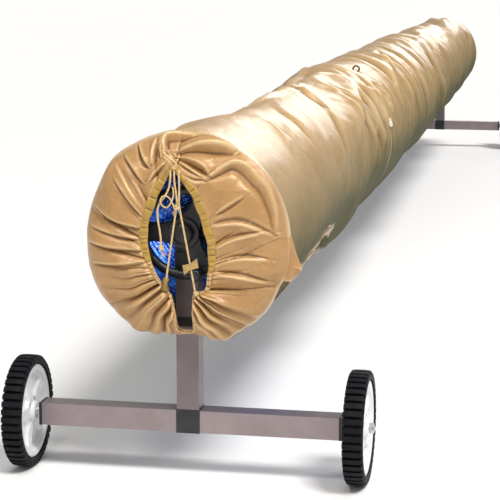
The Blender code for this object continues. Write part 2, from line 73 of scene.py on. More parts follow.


# ---- materials ------------------------------------------------------------------------------------
class Paint:
    """A node material with shorthands for the textures that every finish here is made of."""

    def __init__(self, name, colour, roughness, metallic=0.0, **sockets):
        self.material = bpy.data.materials.new(name)
        self.material.use_nodes = True
        self.tree = self.material.node_tree
        self.shader = self.tree.nodes["Principled BSDF"]
        self.feed(self.shader, {"Base Color": colour, "Roughness": roughness, "Metallic": metallic})
        self.feed(self.shader, {name.replace("_", " "): value for name, value in sockets.items()})
        self.coords = self.tree.nodes.new("ShaderNodeTexCoord")
        self.normal = None

    def feed(self, node, inputs):
        """Links or sets a node's inputs, by name or number, to a socket, a colour or a number."""
        for name, value in inputs.items():
            if hasattr(value, "is_linked"):
                self.tree.links.new(value, node.inputs[name])
            elif node.inputs[name].type == "RGBA":
                node.inputs[name].default_value = (*value, 1)
            else:
                node.inputs[name].default_value = value

    def node(self, kind, inputs):
        node = self.tree.nodes.new("ShaderNode" + kind)
        self.feed(node, inputs)
        return node

    def place(self, scale=(1, 1, 1), source="Object"):
        mapping = self.node("Mapping", {"Vector": self.coords.outputs[source], "Scale": scale})
        return mapping.outputs["Vector"]

    def noise(self, size, detail=3, rough=0.5, stretch=(1, 1, 1), warp=0.0):
        """Noise whose grains are about size metres across."""
        return self.node("TexNoise", {
            "Vector": self.place(stretch), "Scale": 1 / size, "Detail": detail,
            "Roughness": rough, "Distortion": warp}).outputs["Fac"]

    def cells(self, size, feature="F1", stretch=(1, 1, 1), jitter=1.0):
        node = self.node("TexVoronoi", {
            "Vector": self.place(stretch), "Scale": 1 / size, "Randomness": jitter})
        node.feature = feature
        return node.outputs["Distance"]

    def bands(self, pitch, axis="X", source="UV"):
        """Sine bands pitch metres apart."""
        node = self.node("TexWave", {
            "Vector": self.place(source=source), "Scale": 2 * math.pi / (20 * pitch)})
        node.bands_direction = axis
        return node.outputs["Fac"]

    def texture(self, kind, *settings):
        """One of the three textures above, by its name."""
        kinds = {"noise": self.noise, "cells": self.cells, "bands": self.bands}
        return kinds[kind](*settings)

    def ramp(self, value, *stops):
        """Shades between stops, each a value and the grey or colour it turns into."""
        node = self.node("ValToRGB", {"Fac": value})
        elements = node.color_ramp.elements
        while len(elements) < len(stops):
            elements.new(0.5)
        for element, (at, shade) in zip(elements, stops):
            element.position = at
            element.color = (*shade, 1) if hasattr(shade, "__len__") else (shade, shade, shade, 1)
        return node.outputs["Color"]

    def mix(self, a, b, factor):
        node = self.node("Mix", {})
        node.data_type = "RGBA"
        self.feed(node, {0: factor, 6: a, 7: b})
        return node.outputs[2]

    def math(self, kind, a, b):
        node = self.node("Math", {0: a, 1: b})
        node.operation = kind
        return node.outputs[0]

    def scuff_and_crease_shading(self, *stops):
        """How much the surface bulges, which places painted shade in the valleys and painted
        highlights on the crests: below a half in the valleys, above it on the crests.
        """
        return self.ramp(self.node("NewGeometry", {}).outputs["Pointiness"], *stops)

    def underside_shade(self, rag=0.06):
        """Painted shade rising from below: 0 above the shade line, nearly 1 well under it, ragged
        between.
        """
        high, low = SHADE_LINE
        height = self.node("SeparateXYZ", {"Vector": self.coords.outputs["Object"]}).outputs["Z"]
        uneven = self.math("MULTIPLY", self.noise(0.09, 4, 0.6, (1, 0.35, 1)), rag)
        level = self.math("SUBTRACT", high + rag / 2, self.math("ADD", height, uneven))
        level = self.math("DIVIDE", level, high - low)
        return self.ramp(level, (0.0, 0.0), (0.55, 0.50), (1.0, 0.92))

    def colour(self, value):
        self.feed(self.shader, {"Base Color": value})

    def rough(self, value):
        self.feed(self.shader, {"Roughness": value})

    def bump(self, height, distance, strength=1.0):
        """Adds a relief that is distance metres high."""
        inputs = {"Distance": distance, "Strength": strength, "Height": height}
        if self.normal:
            inputs["Normal"] = self.normal
        self.normal = self.node("Bump", inputs).outputs["Normal"]
        self.feed(self.shader, {"Normal": self.normal})


def cover_cloth(name, light, dark, deep, groove, crest, roughness, low=None):
    """Coated polyester: a crinkled film over a fine weave, with painted shade in its grooves and
    painted highlights on its ridges.

    With low given, the lower flanks are dulled and painted that colour unevenly: painted shade,
    tinted olive as a painted reflection of green surroundings.
    """
    p = Paint(name, light, roughness, 0.08, Coat_Weight=0.24, Coat_Roughness=0.24, IOR=1.42)
    broad = p.noise(0.11, 4, 0.55)
    fine = p.noise(0.012, 5, 0.6, warp=0.6)
    tone = p.ramp(broad, (0.30, dark), (0.72, light))
    scuff = p.ramp(fine, (0.34, deep), (0.50, light))
    tone = p.mix(tone, scuff, 0.18)
    # painted shade in the grooves and painted highlights on the crests, found by pointiness
    tone = p.mix(tone, groove, p.scuff_and_crease_shading((0.454, 0.90), (0.497, 0.0)))
    tone = p.mix(tone, crest, p.scuff_and_crease_shading((0.506, 0.0), (0.550, 0.60)))
    gloss = p.ramp(p.noise(0.035, 4, 0.6), (0.3, roughness - 0.07), (0.75, roughness + 0.10))
    # painted shade on the lower flanks, tinted olive as a painted reflection; rougher and without
    # coat there
    if low:
        shade_mask = p.underside_shade()
        tone = p.mix(tone, low, shade_mask)
        gloss = p.mix(gloss, (0.92, 0.92, 0.92), shade_mask)
        p.feed(p.shader, {"Coat Weight": p.ramp(shade_mask, (0.0, 0.30), (0.7, 0.0))})
    p.colour(tone)
    p.rough(gloss)
    p.bump(p.noise(0.030, 5, 0.62, warp=1.2), 0.0022, 0.40)
    p.bump(p.noise(0.0065, 3, 0.55), 0.0004, 0.4)
    for size, stretch in ((0.060, (1, 0.6, 0.8)), (0.032, (0.7, 0.9, 1))):
        edges = p.cells(size, "DISTANCE_TO_EDGE", stretch)
        crease = p.ramp(edges, (0.0, 0.0), (0.10, 0.8), (0.3, 1.0))
        p.bump(crease, 0.02 * size, 0.45)
    weave = p.math("MULTIPLY", p.bands(0.0011, "X"), p.bands(0.0011, "Y"))
    p.bump(weave, 0.00012, 0.5)
    return p.material


def textured(name, colour, roughness, metallic, tint, gloss, *reliefs, **sockets):
    """A finish: tint and gloss are a texture and its stops, a relief is a texture and its height."""
    p = Paint(name, colour, roughness, metallic, **sockets)
    p.colour(p.ramp(p.texture(*tint[0]), *tint[1:]))
    if gloss:
        p.rough(p.ramp(p.texture(*gloss[0]), *gloss[1:]))
    for texture, *height in reliefs:
        p.bump(p.texture(*texture), *height)
    return p.material


def moulded(name, colour, roughness, tint, gloss, relief, **sockets):
    """A moulding: tint is (grain, detail, dark, light, where the light starts), gloss is
    (grain, low, high) and relief is (grain, detail, height)."""
    grain, detail, dark, light, start = tint
    matt, low, high = gloss
    fine, steps, height = relief
    return textured(name, colour, roughness, 0.0,
                    (("noise", grain, detail), (0.3, dark), (start, light)),
                    (("noise", matt, 4), (0.3, low), (0.7, high)),
                    (("noise", fine, steps), height), **sockets)


def brushed(name, colour, roughness, metallic, stretch, dark, light, low):
    """Anodised tube, brushed along its length."""
    grain = ("noise", 0.0012, 4, 0.6, stretch)
    return textured(name, colour, roughness, metallic,
                    (("noise", 0.05, 4, 0.6), (0.25, dark), (0.8, light)),
                    (grain, (0.2, low), (0.8, low + 0.14)), (grain, 0.00004))


def webbing():
    p = Paint("webbing", (0.5, 0.36, 0.16), 0.7, Sheen_Weight=0.3)
    cross = p.math("MULTIPLY", p.bands(0.0021, "Y"), p.bands(0.0014, "X"))
    woven = p.ramp(cross, (0.0, (0.30, 0.18, 0.06)), (0.6, (0.54, 0.36, 0.15)))
    # painted shade low down, as on the cover's lower flanks
    p.colour(p.mix(woven, (0.070, 0.080, 0.034), p.underside_shade()))
    p.bump(cross, 0.0004)
    return p.material


def make_materials():
    """Every finish by its short name."""
    # a scuff tone, then the painted shade of the grooves and the painted highlight of the crests
    scuff_and_crease_shading = ((0.28, 0.145, 0.048), (0.10, 0.042, 0.010), (0.80, 0.590, 0.32))
    lines = ("noise", 0.002, 4, 0.6, (1, 0.02, 1))
    return {
        "cover": cover_cloth("cover_cloth", (0.515, 0.288, 0.112), (0.395, 0.212, 0.078),
                             *scuff_and_crease_shading, 0.36),
        # the barrel's copy of the cloth is painted a lighter tan than the end panels': painted light
        # on the same cloth; low is its painted shade colour
        "barrel": cover_cloth("cover_barrel_cloth", (0.575, 0.362, 0.152), (0.455, 0.272, 0.105),
                              *scuff_and_crease_shading, 0.36, low=(0.050, 0.061, 0.027)),
        # the hem's groove and crest colours are painted shade and a painted highlight too
        "hem": cover_cloth("cover_hem", (0.49, 0.295, 0.060), (0.36, 0.21, 0.032),
                           (0.30, 0.18, 0.03), (0.08, 0.035, 0.008), (0.56, 0.38, 0.10), 0.42),
        "thread": textured(
            "stitching", (0.42, 0.28, 0.12), 0.6, 0.0,
            (("noise", 0.002), (0.3, (0.34, 0.22, 0.09)), (0.7, (0.55, 0.39, 0.19))), None,
            (("bands", 0.0006, "DIAGONAL", "Object"), 0.0001)),
        "webbing": webbing(),
        "buckle": moulded("buckle", (0.78, 0.74, 0.64), 0.38,
                          (0.015, 4, (0.68, 0.63, 0.52), (0.82, 0.79, 0.70), 0.7),
                          (0.006, 0.3, 0.5), (0.0012, 2, 0.00005)),
        "cord": textured(
            "braided_cord", (0.68, 0.48, 0.22), 0.8, 0.0,
            (("noise", 0.0030, 4), (0.3, (0.50, 0.31, 0.10)), (0.7, (0.82, 0.61, 0.31))), None,
            (("noise", 0.0007, 3, 0.6), 0.0003, 0.8), Sheen_Weight=0.3),
        "toggle": textured(
            "toggle_tab", (0.50, 0.32, 0.12), 0.6, 0.0,
            (("noise", 0.006, 4), (0.3, (0.40, 0.24, 0.07)), (0.7, (0.56, 0.37, 0.14))), None,
            (("bands", 0.0012, "DIAGONAL", "Object"), 0.0002, 0.7), Sheen_Weight=0.2),
        "stand": brushed("anodised_tube", (0.34, 0.285, 0.29), 0.34, 0.75, (1, 0.05, 0.05),
                         (0.285, 0.232, 0.237), (0.355, 0.298, 0.303), 0.30),
        # a darker copy of the tube finish for the posts: painted shade, as under the cover
        "post": brushed("shaded_anodised_post", (0.24, 0.20, 0.205), 0.44, 0.6, (1, 1, 0.04),
                        (0.185, 0.150, 0.153), (0.245, 0.204, 0.207), 0.40),
        "black": moulded("black_moulding", (0.016, 0.016, 0.018), 0.42,
                         (0.03, 4, (0.011, 0.011, 0.013), (0.028, 0.028, 0.030), 0.75),
                         (0.01, 0.34, 0.52), (0.0007, 2, 0.00010)),
        "nylon": textured(
            "white_nylon", (0.82, 0.82, 0.80), 0.35, 0.0,
            (("noise", 0.02, 3), (0.3, (0.76, 0.76, 0.73)), (0.7, (0.84, 0.84, 0.82))), None,
            (("noise", 0.002, 2), 0.00005), Subsurface_Weight=0.1),
        "hub": moulded("white_hub", (0.80, 0.81, 0.84), 0.36,
                       (0.03, 4, (0.74, 0.755, 0.79), (0.83, 0.835, 0.855), 0.7),
                       (0.012, 0.30, 0.46), (0.0015, 2, 0.00006), Coat_Weight=0.15),
        "tyre": moulded("tyre", (0.010, 0.010, 0.013), 0.6,
                        (0.02, 5, (0.003, 0.003, 0.005), (0.009, 0.009, 0.013), 0.75),
                        (0.008, 0.50, 0.72), (0.0010, 3, 0.00015), Specular_IOR_Level=0.18),
        "zinc": textured(
            "zinc", (0.60, 0.60, 0.585), 0.3, 1.0,
            (("cells", 0.004), (0.0, (0.50, 0.50, 0.485)), (0.8, (0.70, 0.70, 0.69))),
            (("noise", 0.003, 3), (0.3, 0.22), (0.7, 0.42)), (("noise", 0.0008, 2), 0.00004)),
        "aluminium": textured(
            "mill_aluminium", (0.74, 0.75, 0.77), 0.34, 1.0,
            (lines, (0.2, (0.66, 0.67, 0.69)), (0.8, (0.80, 0.81, 0.83))),
            (lines, (0.2, 0.26), (0.8, 0.44)), (lines, 0.00005)),
        "hand_wheel": moulded("hand_wheel_plastic", (0.020, 0.020, 0.024), 0.33,
                              (0.03, 4, (0.013, 0.013, 0.017), (0.032, 0.033, 0.040), 0.75),
                              (0.01, 0.26, 0.44), (0.0008, 2, 0.00006)),
        "blanket": textured(
            "bubble_film", (0.03, 0.20, 0.85), 0.16, 0.0,
            (("noise", 0.018, 5, 0.65, (1, 1, 1), 1.5), (0.36, (0.006, 0.03, 0.24)),
             (0.52, (0.015, 0.11, 0.66)), (0.68, (0.04, 0.38, 1.0))), None,
            (("noise", 0.014, 4, 0.6, (1, 1, 1), 2.0), 0.004, 0.7),
            (("cells", 0.0085, "F1", (1, 1, 1), 0.15), 0.0016, 0.5),
            Coat_Weight=0.6, Coat_Roughness=0.06),
    }


M = make_materials()
SLOT_PAINT = {
    "stand_paint": "stand", "black_plastic": "black", "white_plastic": "nylon", "white_hub": "hub",
    "tyre": "tyre", "zinc_steel": "zinc", "aluminium": "aluminium", "blanket": "blanket",
    "hand_wheel_plastic": "hand_wheel", "cover_fabric": "cover", "webbing": "webbing",
    "buckle": "buckle", "cord": "cord", "toggle_tab": "toggle",
}
for part in frame["record"]["subparts"]:
    # posts take the darker copy of the tube finish, which is painted shade
    paint = M["post" if part["node"].endswith("_post") else SLOT_PAINT[part["material_slot"]]]
    mesh = NODES[part["node"]].data
    for index in range(len(mesh.materials)):
        mesh.materials[index] = paint


# ---- camera, light and floor ----------------------------------------------------------------------
def make_camera():
    data = bpy.data.cameras.new("camera")
    data.lens = 124.3
    data.sensor_width = 36
    data.clip_end = 100
    camera = bpy.data.objects.new("camera", data)
    camera.location = (0.6769, -5.5063, 0.9354)
    camera.rotation_euler = (math.pi / 2 - 0.1753, 0, 0.1932)
    scene.collection.objects.link(camera)
    scene.camera = camera


def make_light(kind, name, energy, colour, place, towards, size):
    """A sun, with size its angle in radians, or a square lamp size metres wide."""
    data = bpy.data.lights.new(name, kind)
    data.energy = energy
    data.color = colour
    if kind == "SUN":
        data.angle = size
    else:
        data.size = size
    lamp = bpy.data.objects.new(name, data)
    lamp.location = place
    lamp.rotation_euler = Vector(towards).to_track_quat("-Z", "Y").to_euler()
    scene.collection.objects.link(lamp)


def make_studio():
    world = bpy.data.worlds.new("studio")
    world.use_nodes = True
    world.node_tree.nodes["Background"].inputs["Color"].default_value = (1, 1, 1, 1)
    world.node_tree.nodes["Background"].inputs["Strength"].default_value = 0.40
    scene.world = world
    scene.view_settings.view_transform = "Standard"
    for name, energy, colour, towards in (
            ("sun", 2.45, (1.0, 0.985, 0.955), (-0.48, 0.48, -1.0)),
            ("back", 0.42, (1.0, 0.985, 0.96), (-0.07, -1.0, -0.29))):
        make_light("SUN", name, energy, colour, (0, 0, 0), towards, math.radians(18))
    for name, energy, colour, place, target, size in (
            ("above", 5.2, (1.0, 0.975, 0.93), (-0.28, -3.35, 1.52), (-0.04, -2.66, 0.50), 0.26),
            ("key", 20, (1.0, 0.985, 0.95), (1.6, -1.2, 2.4), (0.1, -2.2, 0.5), 0.9),
            ("inside", 0.08, (1, 1, 1), (-0.095, -2.572, 0.385), (-0.02, -2.53, 0.43), 0.03)):
        make_light("AREA", name, energy, colour, place, Vector(target) - Vector(place), size)

    mesh = bpy.data.meshes.new("floor")
    mesh.from_pydata([(-70, -70, 0), (70, -70, 0), (70, 70, 0), (-70, 70, 0)], [], [(0, 1, 2, 3)])
    mesh.materials.append(Paint("floor", (0.93, 0.93, 0.93), 0.9, Specular_IOR_Level=0.1).material)
    floor = bpy.data.objects.new("floor", mesh)
    scene.collection.objects.link(floor)
    floor.location.z = -0.0005


make_camera()
make_studio()


# ---- mesh tools -----------------------------------------------------------------------------------
def circle(count):
    """Angles all the way round, without the last one, which is the first again."""
    return np.linspace(0, 2 * np.pi, count, endpoint=False)


def unit(values):
    return values / (np.linalg.norm(values, axis=-1, keepdims=True) + 1e-12)


def bent(values, power):
    """The values raised to a power with their signs kept."""
    return np.sign(values) * np.abs(values) ** power


def bell(values, width=1.0):
    return np.exp(-(values / width) ** 2)


def radial(turn):
    """The direction at an angle from +X, in the plane across the reel."""
    return np.array([math.cos(turn), 0.0, math.sin(turn)])


def run_along(path):
    """How far along a path each of its points lies."""
    return np.concatenate([[0], np.cumsum(np.linalg.norm(np.diff(path, axis=0), axis=1))])


def read_path(path, run, at):
    return np.stack([np.interp(at, run, path[:, k]) for k in range(3)], -1)


class Build:
    """Collects patches of vertices and faces into one mesh object."""

    def __init__(self):
        self.verts, self.faces, self.which, self.uvs, self.count = [], [], [], [], 0

    def add(self, verts, faces, which=0, uv=None):
        """Quads over an array of points; uv holds one pair for each corner of each face."""
        verts = np.asarray(verts, float).reshape(-1, 3)
        faces = np.asarray(faces, int).reshape(-1, 4)
        self.verts.append(verts)
        self.faces.append(faces + self.count)
        self.which.append(np.broadcast_to(np.asarray(which), (len(faces),)))
        self.uvs.append(np.zeros((len(faces), 4, 2)) if uv is None else uv)
        self.count += len(verts)

    def finish(self, name, body, slot, *paints, stands_for=None, crisp=None):
        """The object, standing for a CAD node; edges of more than crisp degrees stay crisp."""
        mesh = bpy.data.meshes.new(name)
        verts = np.concatenate(self.verts)
        faces = np.concatenate(self.faces)
        mesh.vertices.add(len(verts))
        mesh.vertices.foreach_set("co", verts.astype(np.float32).ravel())
        mesh.loops.add(4 * len(faces))
        mesh.loops.foreach_set("vertex_index", faces.astype(np.int32).ravel())
        mesh.polygons.add(len(faces))
        mesh.polygons.foreach_set("loop_start", np.arange(0, 4 * len(faces), 4, dtype=np.int32))
        mesh.polygons.foreach_set("material_index", np.concatenate(self.which).astype(np.int32))
        mesh.update(calc_edges=True)
        layer = mesh.uv_layers.new(name="flat")
        layer.data.foreach_set("uv", np.concatenate(self.uvs).astype(np.float32).ravel())
        mesh.validate()
        for paint in paints:
            mesh.materials.append(M[paint])
        mesh.shade_smooth()
        if crisp:
            mesh.set_sharp_from_angle(angle=math.radians(crisp))
        obj = bpy.data.objects.new(name, mesh)
        scene.collection.objects.link(obj)
        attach(obj, body)
        if stands_for:
            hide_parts(stands_for)
        return obj


def grid_faces(rows, columns, closed_rows=False, closed_columns=False):
    i = np.arange(rows if closed_rows else rows - 1)[:, None]
    j = np.arange(columns if closed_columns else columns - 1)[None, :]
    a = i * columns + j
    b = ((i + 1) % rows) * columns + j
    c = ((i + 1) % rows) * columns + (j + 1) % columns
    d = i * columns + (j + 1) % columns
    return np.stack([a + 0 * d, b + 0 * d, c, d + 0 * a], axis=-1).reshape(-1, 4)


def grid_normals(points, closed):
    if closed:
        along = np.roll(points, -1, 0) - np.roll(points, 1, 0)
    else:
        along = np.gradient(points, axis=0)
    return unit(np.cross(along, np.gradient(points, axis=1)))


def cloth(build, points, closed, thick=FABRIC, which=None, uv=None):
    """A closed thin shell round a grid of points, closed along its first axis or open all round."""
    rows, columns, _ = points.shape
    normal = grid_normals(points, closed)
    size = rows * columns
    verts = np.concatenate([(points + normal * thick / 2).reshape(-1, 3),
                            (points - normal * thick / 2).reshape(-1, 3)])
    front = grid_faces(rows, columns, closed)
    back = front[:, ::-1] + size
    i = np.arange(rows if closed else rows - 1)
    n = (i + 1) % rows
    low, high = i * columns, n * columns
    last = columns - 1
    rims = [np.stack([high, low, low + size, high + size], -1),
            np.stack([low + last, high + last, high + last + size, low + last + size], -1)]
    if not closed:
        j = np.arange(columns - 1)
        end = (rows - 1) * columns
        rims.append(np.stack([j, j + 1, j + 1 + size, j + size], -1))
        rims.append(np.stack([end + j + 1, end + j, end + j + size, end + j + 1 + size], -1))
    faces = np.concatenate([front, back] + rims)
    spare = len(faces) - 2 * len(front)
    if which is None:
        which = np.zeros(len(front), int)
    which = np.concatenate([which, which, np.zeros(spare, int)])
    if uv is None:
        corner = np.zeros((len(faces), 4, 2))
    else:
        u, v = uv
        row, column = np.divmod(front, columns)
        wrapped = row[:, 1] < row[:, 0]
        place_u = u[row]
        if closed:
            place_u[wrapped, 1] = u[-1]
            place_u[wrapped, 2] = u[-1]
        face_uv = np.stack([place_u, v[column]], -1)
        corner = np.concatenate([face_uv, face_uv[:, ::-1], np.zeros((spare, 4, 2))])
    build.add(verts, faces, which, corner)


def sweep(path, closed=False, up=None):
    """Two unit vectors across a path at each point: carried without twist, or square to up."""
    if closed:
        tangent = unit(np.roll(path, -1, 0) - np.roll(path, 1, 0))
    else:
        tangent = unit(np.gradient(path, axis=0))
    if up is not None:
        side = unit(np.cross(tangent, np.broadcast_to(up, path.shape)))
        return side, np.cross(side, tangent)
    last = np.array([0.0, 0.0, 1.0]) if abs(tangent[0][2]) < 0.9 else np.array([1.0, 0.0, 0.0])
    sides = []
    for t in tangent:
        last = last - t * np.dot(last, t)
        last = last / np.linalg.norm(last)
        sides.append(last)
    return np.array(sides), np.cross(tangent, sides)


def tube(build, path, across, deep=None, sides=12, closed=False, up=None, which=0, twist=0.0,
         lobes=0, lobe=0.0, power=1.0):
    """A tube of half width across and half depth deep, given once or for each point of its path."""
    path = np.asarray(path, float)
    count = len(path)
    across, deep = (np.broadcast_to(np.asarray(half, float), (count,)).copy()
                    for half in (across, across if deep is None else deep))
    if not closed:
        for half in (across, deep):
            half[[0, -1]] *= 0.55
    side, over = sweep(path, closed, up)
    angle = circle(sides)
    run = run_along(path)
    swell = np.ones((count, sides))
    if lobes:
        phase = lobes * (angle[None, :] - twist * run[:, None])
        swell = 1 - lobe + lobe * np.abs(np.cos(phase / 2)) ** 0.7
    ring = (side[:, None, :] * (across[:, None] * bent(np.cos(angle), power) * swell)[..., None]
            + over[:, None, :] * (deep[:, None] * bent(np.sin(angle), power) * swell)[..., None])
    points = path[:, None, :] + ring
    u = np.arange(sides + 1) / sides * 2 * np.pi * float(across.mean())
    faces = grid_faces(count, sides, closed, True)
    row, column = np.divmod(faces, sides)
    wrapped = column[:, 2] < column[:, 0]
    corner_u = u[column]
    corner_u[wrapped, 2] = u[-1]
    corner_u[wrapped, 3] = u[-1]
    uv = np.stack([corner_u, run[row]], -1)
    verts = points.reshape(-1, 3)
    if not closed:
        caps = np.array([path[0], path[-1]])
        verts = np.concatenate([verts, caps])
        k = np.arange(0, sides, 2)
        first = np.stack([np.full_like(k, count * sides), (k + 2) % sides, k + 1, k], -1)
        end = (count - 1) * sides
        final = np.stack([np.full_like(k, count * sides + 1), end + k, end + k + 1,
                          end + (k + 2) % sides], -1)
        faces = np.concatenate([faces, first, final])
        uv = np.concatenate([uv, np.zeros((len(k) * 2, 4, 2))])
    build.add(verts, faces[:, ::-1], which, uv[:, ::-1])


def tube_piece(name, slot, paint, *given, **settings):
    """A piece of the stands and cover that is one tube."""
    stands_for = settings.pop("stands_for", None)
    build = Build()
    tube(build, *given, **settings)
    return build.finish(name, ROOT, slot, paint, stands_for=stands_for)


def lathe(build, profile, centre, axis, steps=48, which=0):
    """A closed ring of (radius, height) points turned about an axis through centre."""
    axis = np.asarray(axis, float)
    side = np.array([0.0, 0.0, 1.0])
    other = np.cross(axis, side)
    angle = circle(steps)
    out = side * np.cos(angle)[:, None] + other * np.sin(angle)[:, None]
    profile = np.asarray(profile, float)
    points = (np.asarray(centre) + out[:, None, :] * profile[None, :, 0, None]
              + axis * profile[None, :, 1, None])
    build.add(points, grid_faces(steps, len(profile), True, True), which)


def smooth_route(points, spacing):
    """Points at an even spacing on a smooth curve through the given ones, and its length."""
    points = np.asarray(points, float)
    ends = np.vstack([2 * points[0] - points[1], points, 2 * points[-1] - points[-2]])
    t = (np.arange(20) / 20)[:, None]
    fine = []
    for a, b, c, d in zip(ends, ends[1:], ends[2:], ends[3:]):
        fine.append(0.5 * (2 * b + (c - a) * t + (2 * a - 5 * b + 4 * c - d) * t * t
                           + (3 * b - a - 3 * c + d) * t ** 3))
    fine = np.vstack(fine + [points[-1:]])
    run = run_along(fine)
    at = np.linspace(0, run[-1], max(3, round(run[-1] / spacing)) + 1)
    return read_path(fine, run, at), run[-1]


# ---- noise ----------------------------------------------------------------------------------------
def cell_random(i, j, seed):
    n = (i.astype(np.int64) * 73856093) ^ (j.astype(np.int64) * 19349663) ^ (seed * 83492791)
    n = (n ^ (n >> 13)) * 1274126177
    n = n ^ (n >> 16)
    return (n & 0xFFFF) / 32767.5 - 1.0


def corners(x, y, seed):
    i, j = np.floor(x), np.floor(y)
    return (x - i, y - j, cell_random(i, j, seed), cell_random(i + 1, j, seed),
            cell_random(i, j + 1, seed), cell_random(i + 1, j + 1, seed))


def soft_noise(x, y, seed, octaves=1):
    total, gain = 0.0, 1.0
    for octave in range(octaves):
        fx, fy, a, b, c, d = corners(x * 2 ** octave, y * 2 ** octave, seed + 17 * octave)
        fx = fx * fx * fx * (fx * (6 * fx - 15) + 10)
        fy = fy * fy * fy * (fy * (6 * fy - 15) + 10)
        total = total + gain * ((a * (1 - fx) + b * fx) * (1 - fy) + (c * (1 - fx) + d * fx) * fy)
        gain /= 2
    return total


def facet_noise(x, y, seed):
    """Flat triangles between random heights, so that its folds are straight and sharp."""
    fx, fy, a, b, c, d = corners(x, y, seed)
    low = a + fx * (b - a) + fy * (c - a)
    high = d + (1 - fx) * (c - d) + (1 - fy) * (b - d)
    return np.where(fx + fy < 1, low, high)


def ease(x, low, high):
    t = np.clip((x - low) / (high - low), 0, 1)
    return t * t * (3 - 2 * t)


# ---- drawcord -------------------------------------------------------------------------------------
# Each route is (x from the centre, distance in front of CORD_Y, height above the ground).
CORD_ROUTES = {
    "left": [(-0.004, 0.000, 0.560), (-0.003, 0.002, 0.540), (0.000, 0.003, 0.520),
             (0.001, 0.003, 0.502), (-0.003, 0.003, 0.475), (-0.010, 0.002, 0.430),
             (-0.017, 0.001, 0.385), (-0.021, 0.000, 0.356)],
    "right": [(0.004, 0.000, 0.560), (0.005, 0.002, 0.540), (0.0052, 0.003, 0.520),
              (0.0052, 0.003, 0.500), (0.0115, 0.003, 0.4653), (0.0178, 0.003, 0.4306),
              (0.0241, 0.003, 0.3959), (0.0304, 0.003, 0.3612), (0.033, 0.001, 0.347)],
    "tail": [(-0.010, 0.000, 0.560), (-0.010, 0.003, 0.545), (-0.012, 0.006, 0.530),
             (-0.019, 0.008, 0.515), (-0.026, 0.008, 0.506), (-0.031, 0.008, 0.494),
             (-0.031, 0.007, 0.475), (-0.028, 0.006, 0.455), (-0.026, 0.006, 0.436),
             (-0.025, 0.006, 0.420)],
    "wrap": [(-0.024, 0.001, 0.594), (-0.020, 0.004, 0.590), (-0.016, 0.005, 0.586),
             (-0.010, 0.006, 0.581), (-0.004, 0.006, 0.577), (0.001, 0.005, 0.571),
             (0.001, 0.003, 0.566), (-0.003, 0.002, 0.562), (-0.006, 0.003, 0.566),
             (-0.010, 0.005, 0.573), (-0.015, 0.005, 0.579), (-0.021, 0.003, 0.583)],
    "loop": [(-0.006, 0.003, 0.532), (-0.004, 0.006, 0.518), (-0.008, 0.009, 0.505),
             (-0.015, 0.0105, 0.4975), (-0.0225, 0.011, 0.501), (-0.0255, 0.011, 0.5085),
             (-0.022, 0.0105, 0.516), (-0.0145, 0.0095, 0.5165), (-0.008, 0.008, 0.510),
             (-0.004, 0.0065, 0.500), (-0.0015, 0.005, 0.492)],
}
TOGGLE_MIDDLE = np.array([0.0241, CORD_Y - 0.003, 0.3959])
TOGGLE_AXIS = np.array([0.0063, 0.0, -0.0347]) / math.hypot(0.0063, 0.0347)


def knot(name, place, size, turn=(0, 0, 0)):
    """Overhand knot: a trefoil of cord pulled tight."""
    t = circle(48)
    loop = np.stack([np.sin(t) + 2 * np.sin(2 * t), np.cos(t) - 2 * np.cos(2 * t),
                     -1.3 * np.sin(3 * t)], -1) * size / 3
    turned = np.array(Matrix.Rotation(turn[0], 3, "X") @ Matrix.Rotation(turn[1], 3, "Y")
                      @ Matrix.Rotation(turn[2], 3, "Z"))
    return tube_piece(name, "cord", "cord", loop @ turned.T + place, CORD_RADIUS * 0.95, sides=10,
                      closed=True)


def fray(name, place, direction, length, seed):
    """Nine loose strands at the end of a cord."""
    rng = np.random.default_rng(seed)
    build = Build()
    for _ in range(9):
        aim = unit(np.asarray(direction) + rng.normal(0, 0.30, 3) * (1, 0.5, 1))
        reach = length * rng.uniform(0.6, 1.0)
        start = np.asarray(place) + rng.normal(0, 0.0005, 3)
        route = [start, start + aim * reach * 0.5 + rng.normal(0, 0.0004, 3),
                 start + aim * reach + np.array([0, 0, -0.0008])]
        tube(build, smooth_route(route, 0.0012)[0], 0.00032, sides=5)
    return build.finish(name, ROOT, "cord", "cord")


def make_cord(name, radius=CORD_RADIUS, sides=12, stands_for=None):
    """A three-strand cord along its route, with its path and length."""
    guide = [(x, CORD_Y - forward, height) for x, forward, height in CORD_ROUTES[name]]
    path, length = smooth_route(guide, 0.0012)
    piece = tube_piece("cord_" + name, "cord", "cord", path, radius, sides=sides, twist=900.0,
                       lobes=3, lobe=0.24, stands_for=stands_for)
    return piece, path, length


def make_hem_tab():
    """The puckered end of the hem that the left strand is sewn to."""
    path, _ = smooth_route([(-0.0188, CORD_Y + 0.002, 0.3745), (-0.0198, CORD_Y - 0.002, 0.368),
                            (-0.0205, CORD_Y - 0.003, 0.360), (-0.0200, CORD_Y - 0.0005, 0.3525)],
                           0.0008)
    share = np.linspace(0, 1, len(path))
    return tube_piece("drawcord_hem_tab", "cover_fabric", "hem", path,
                      0.0062 + 0.0014 * np.sin(9 * share) - 0.002 * (1 - share),
                      0.0026 + 0.0006 * np.cos(8 * share), sides=16, up=-ALONG, power=0.8)


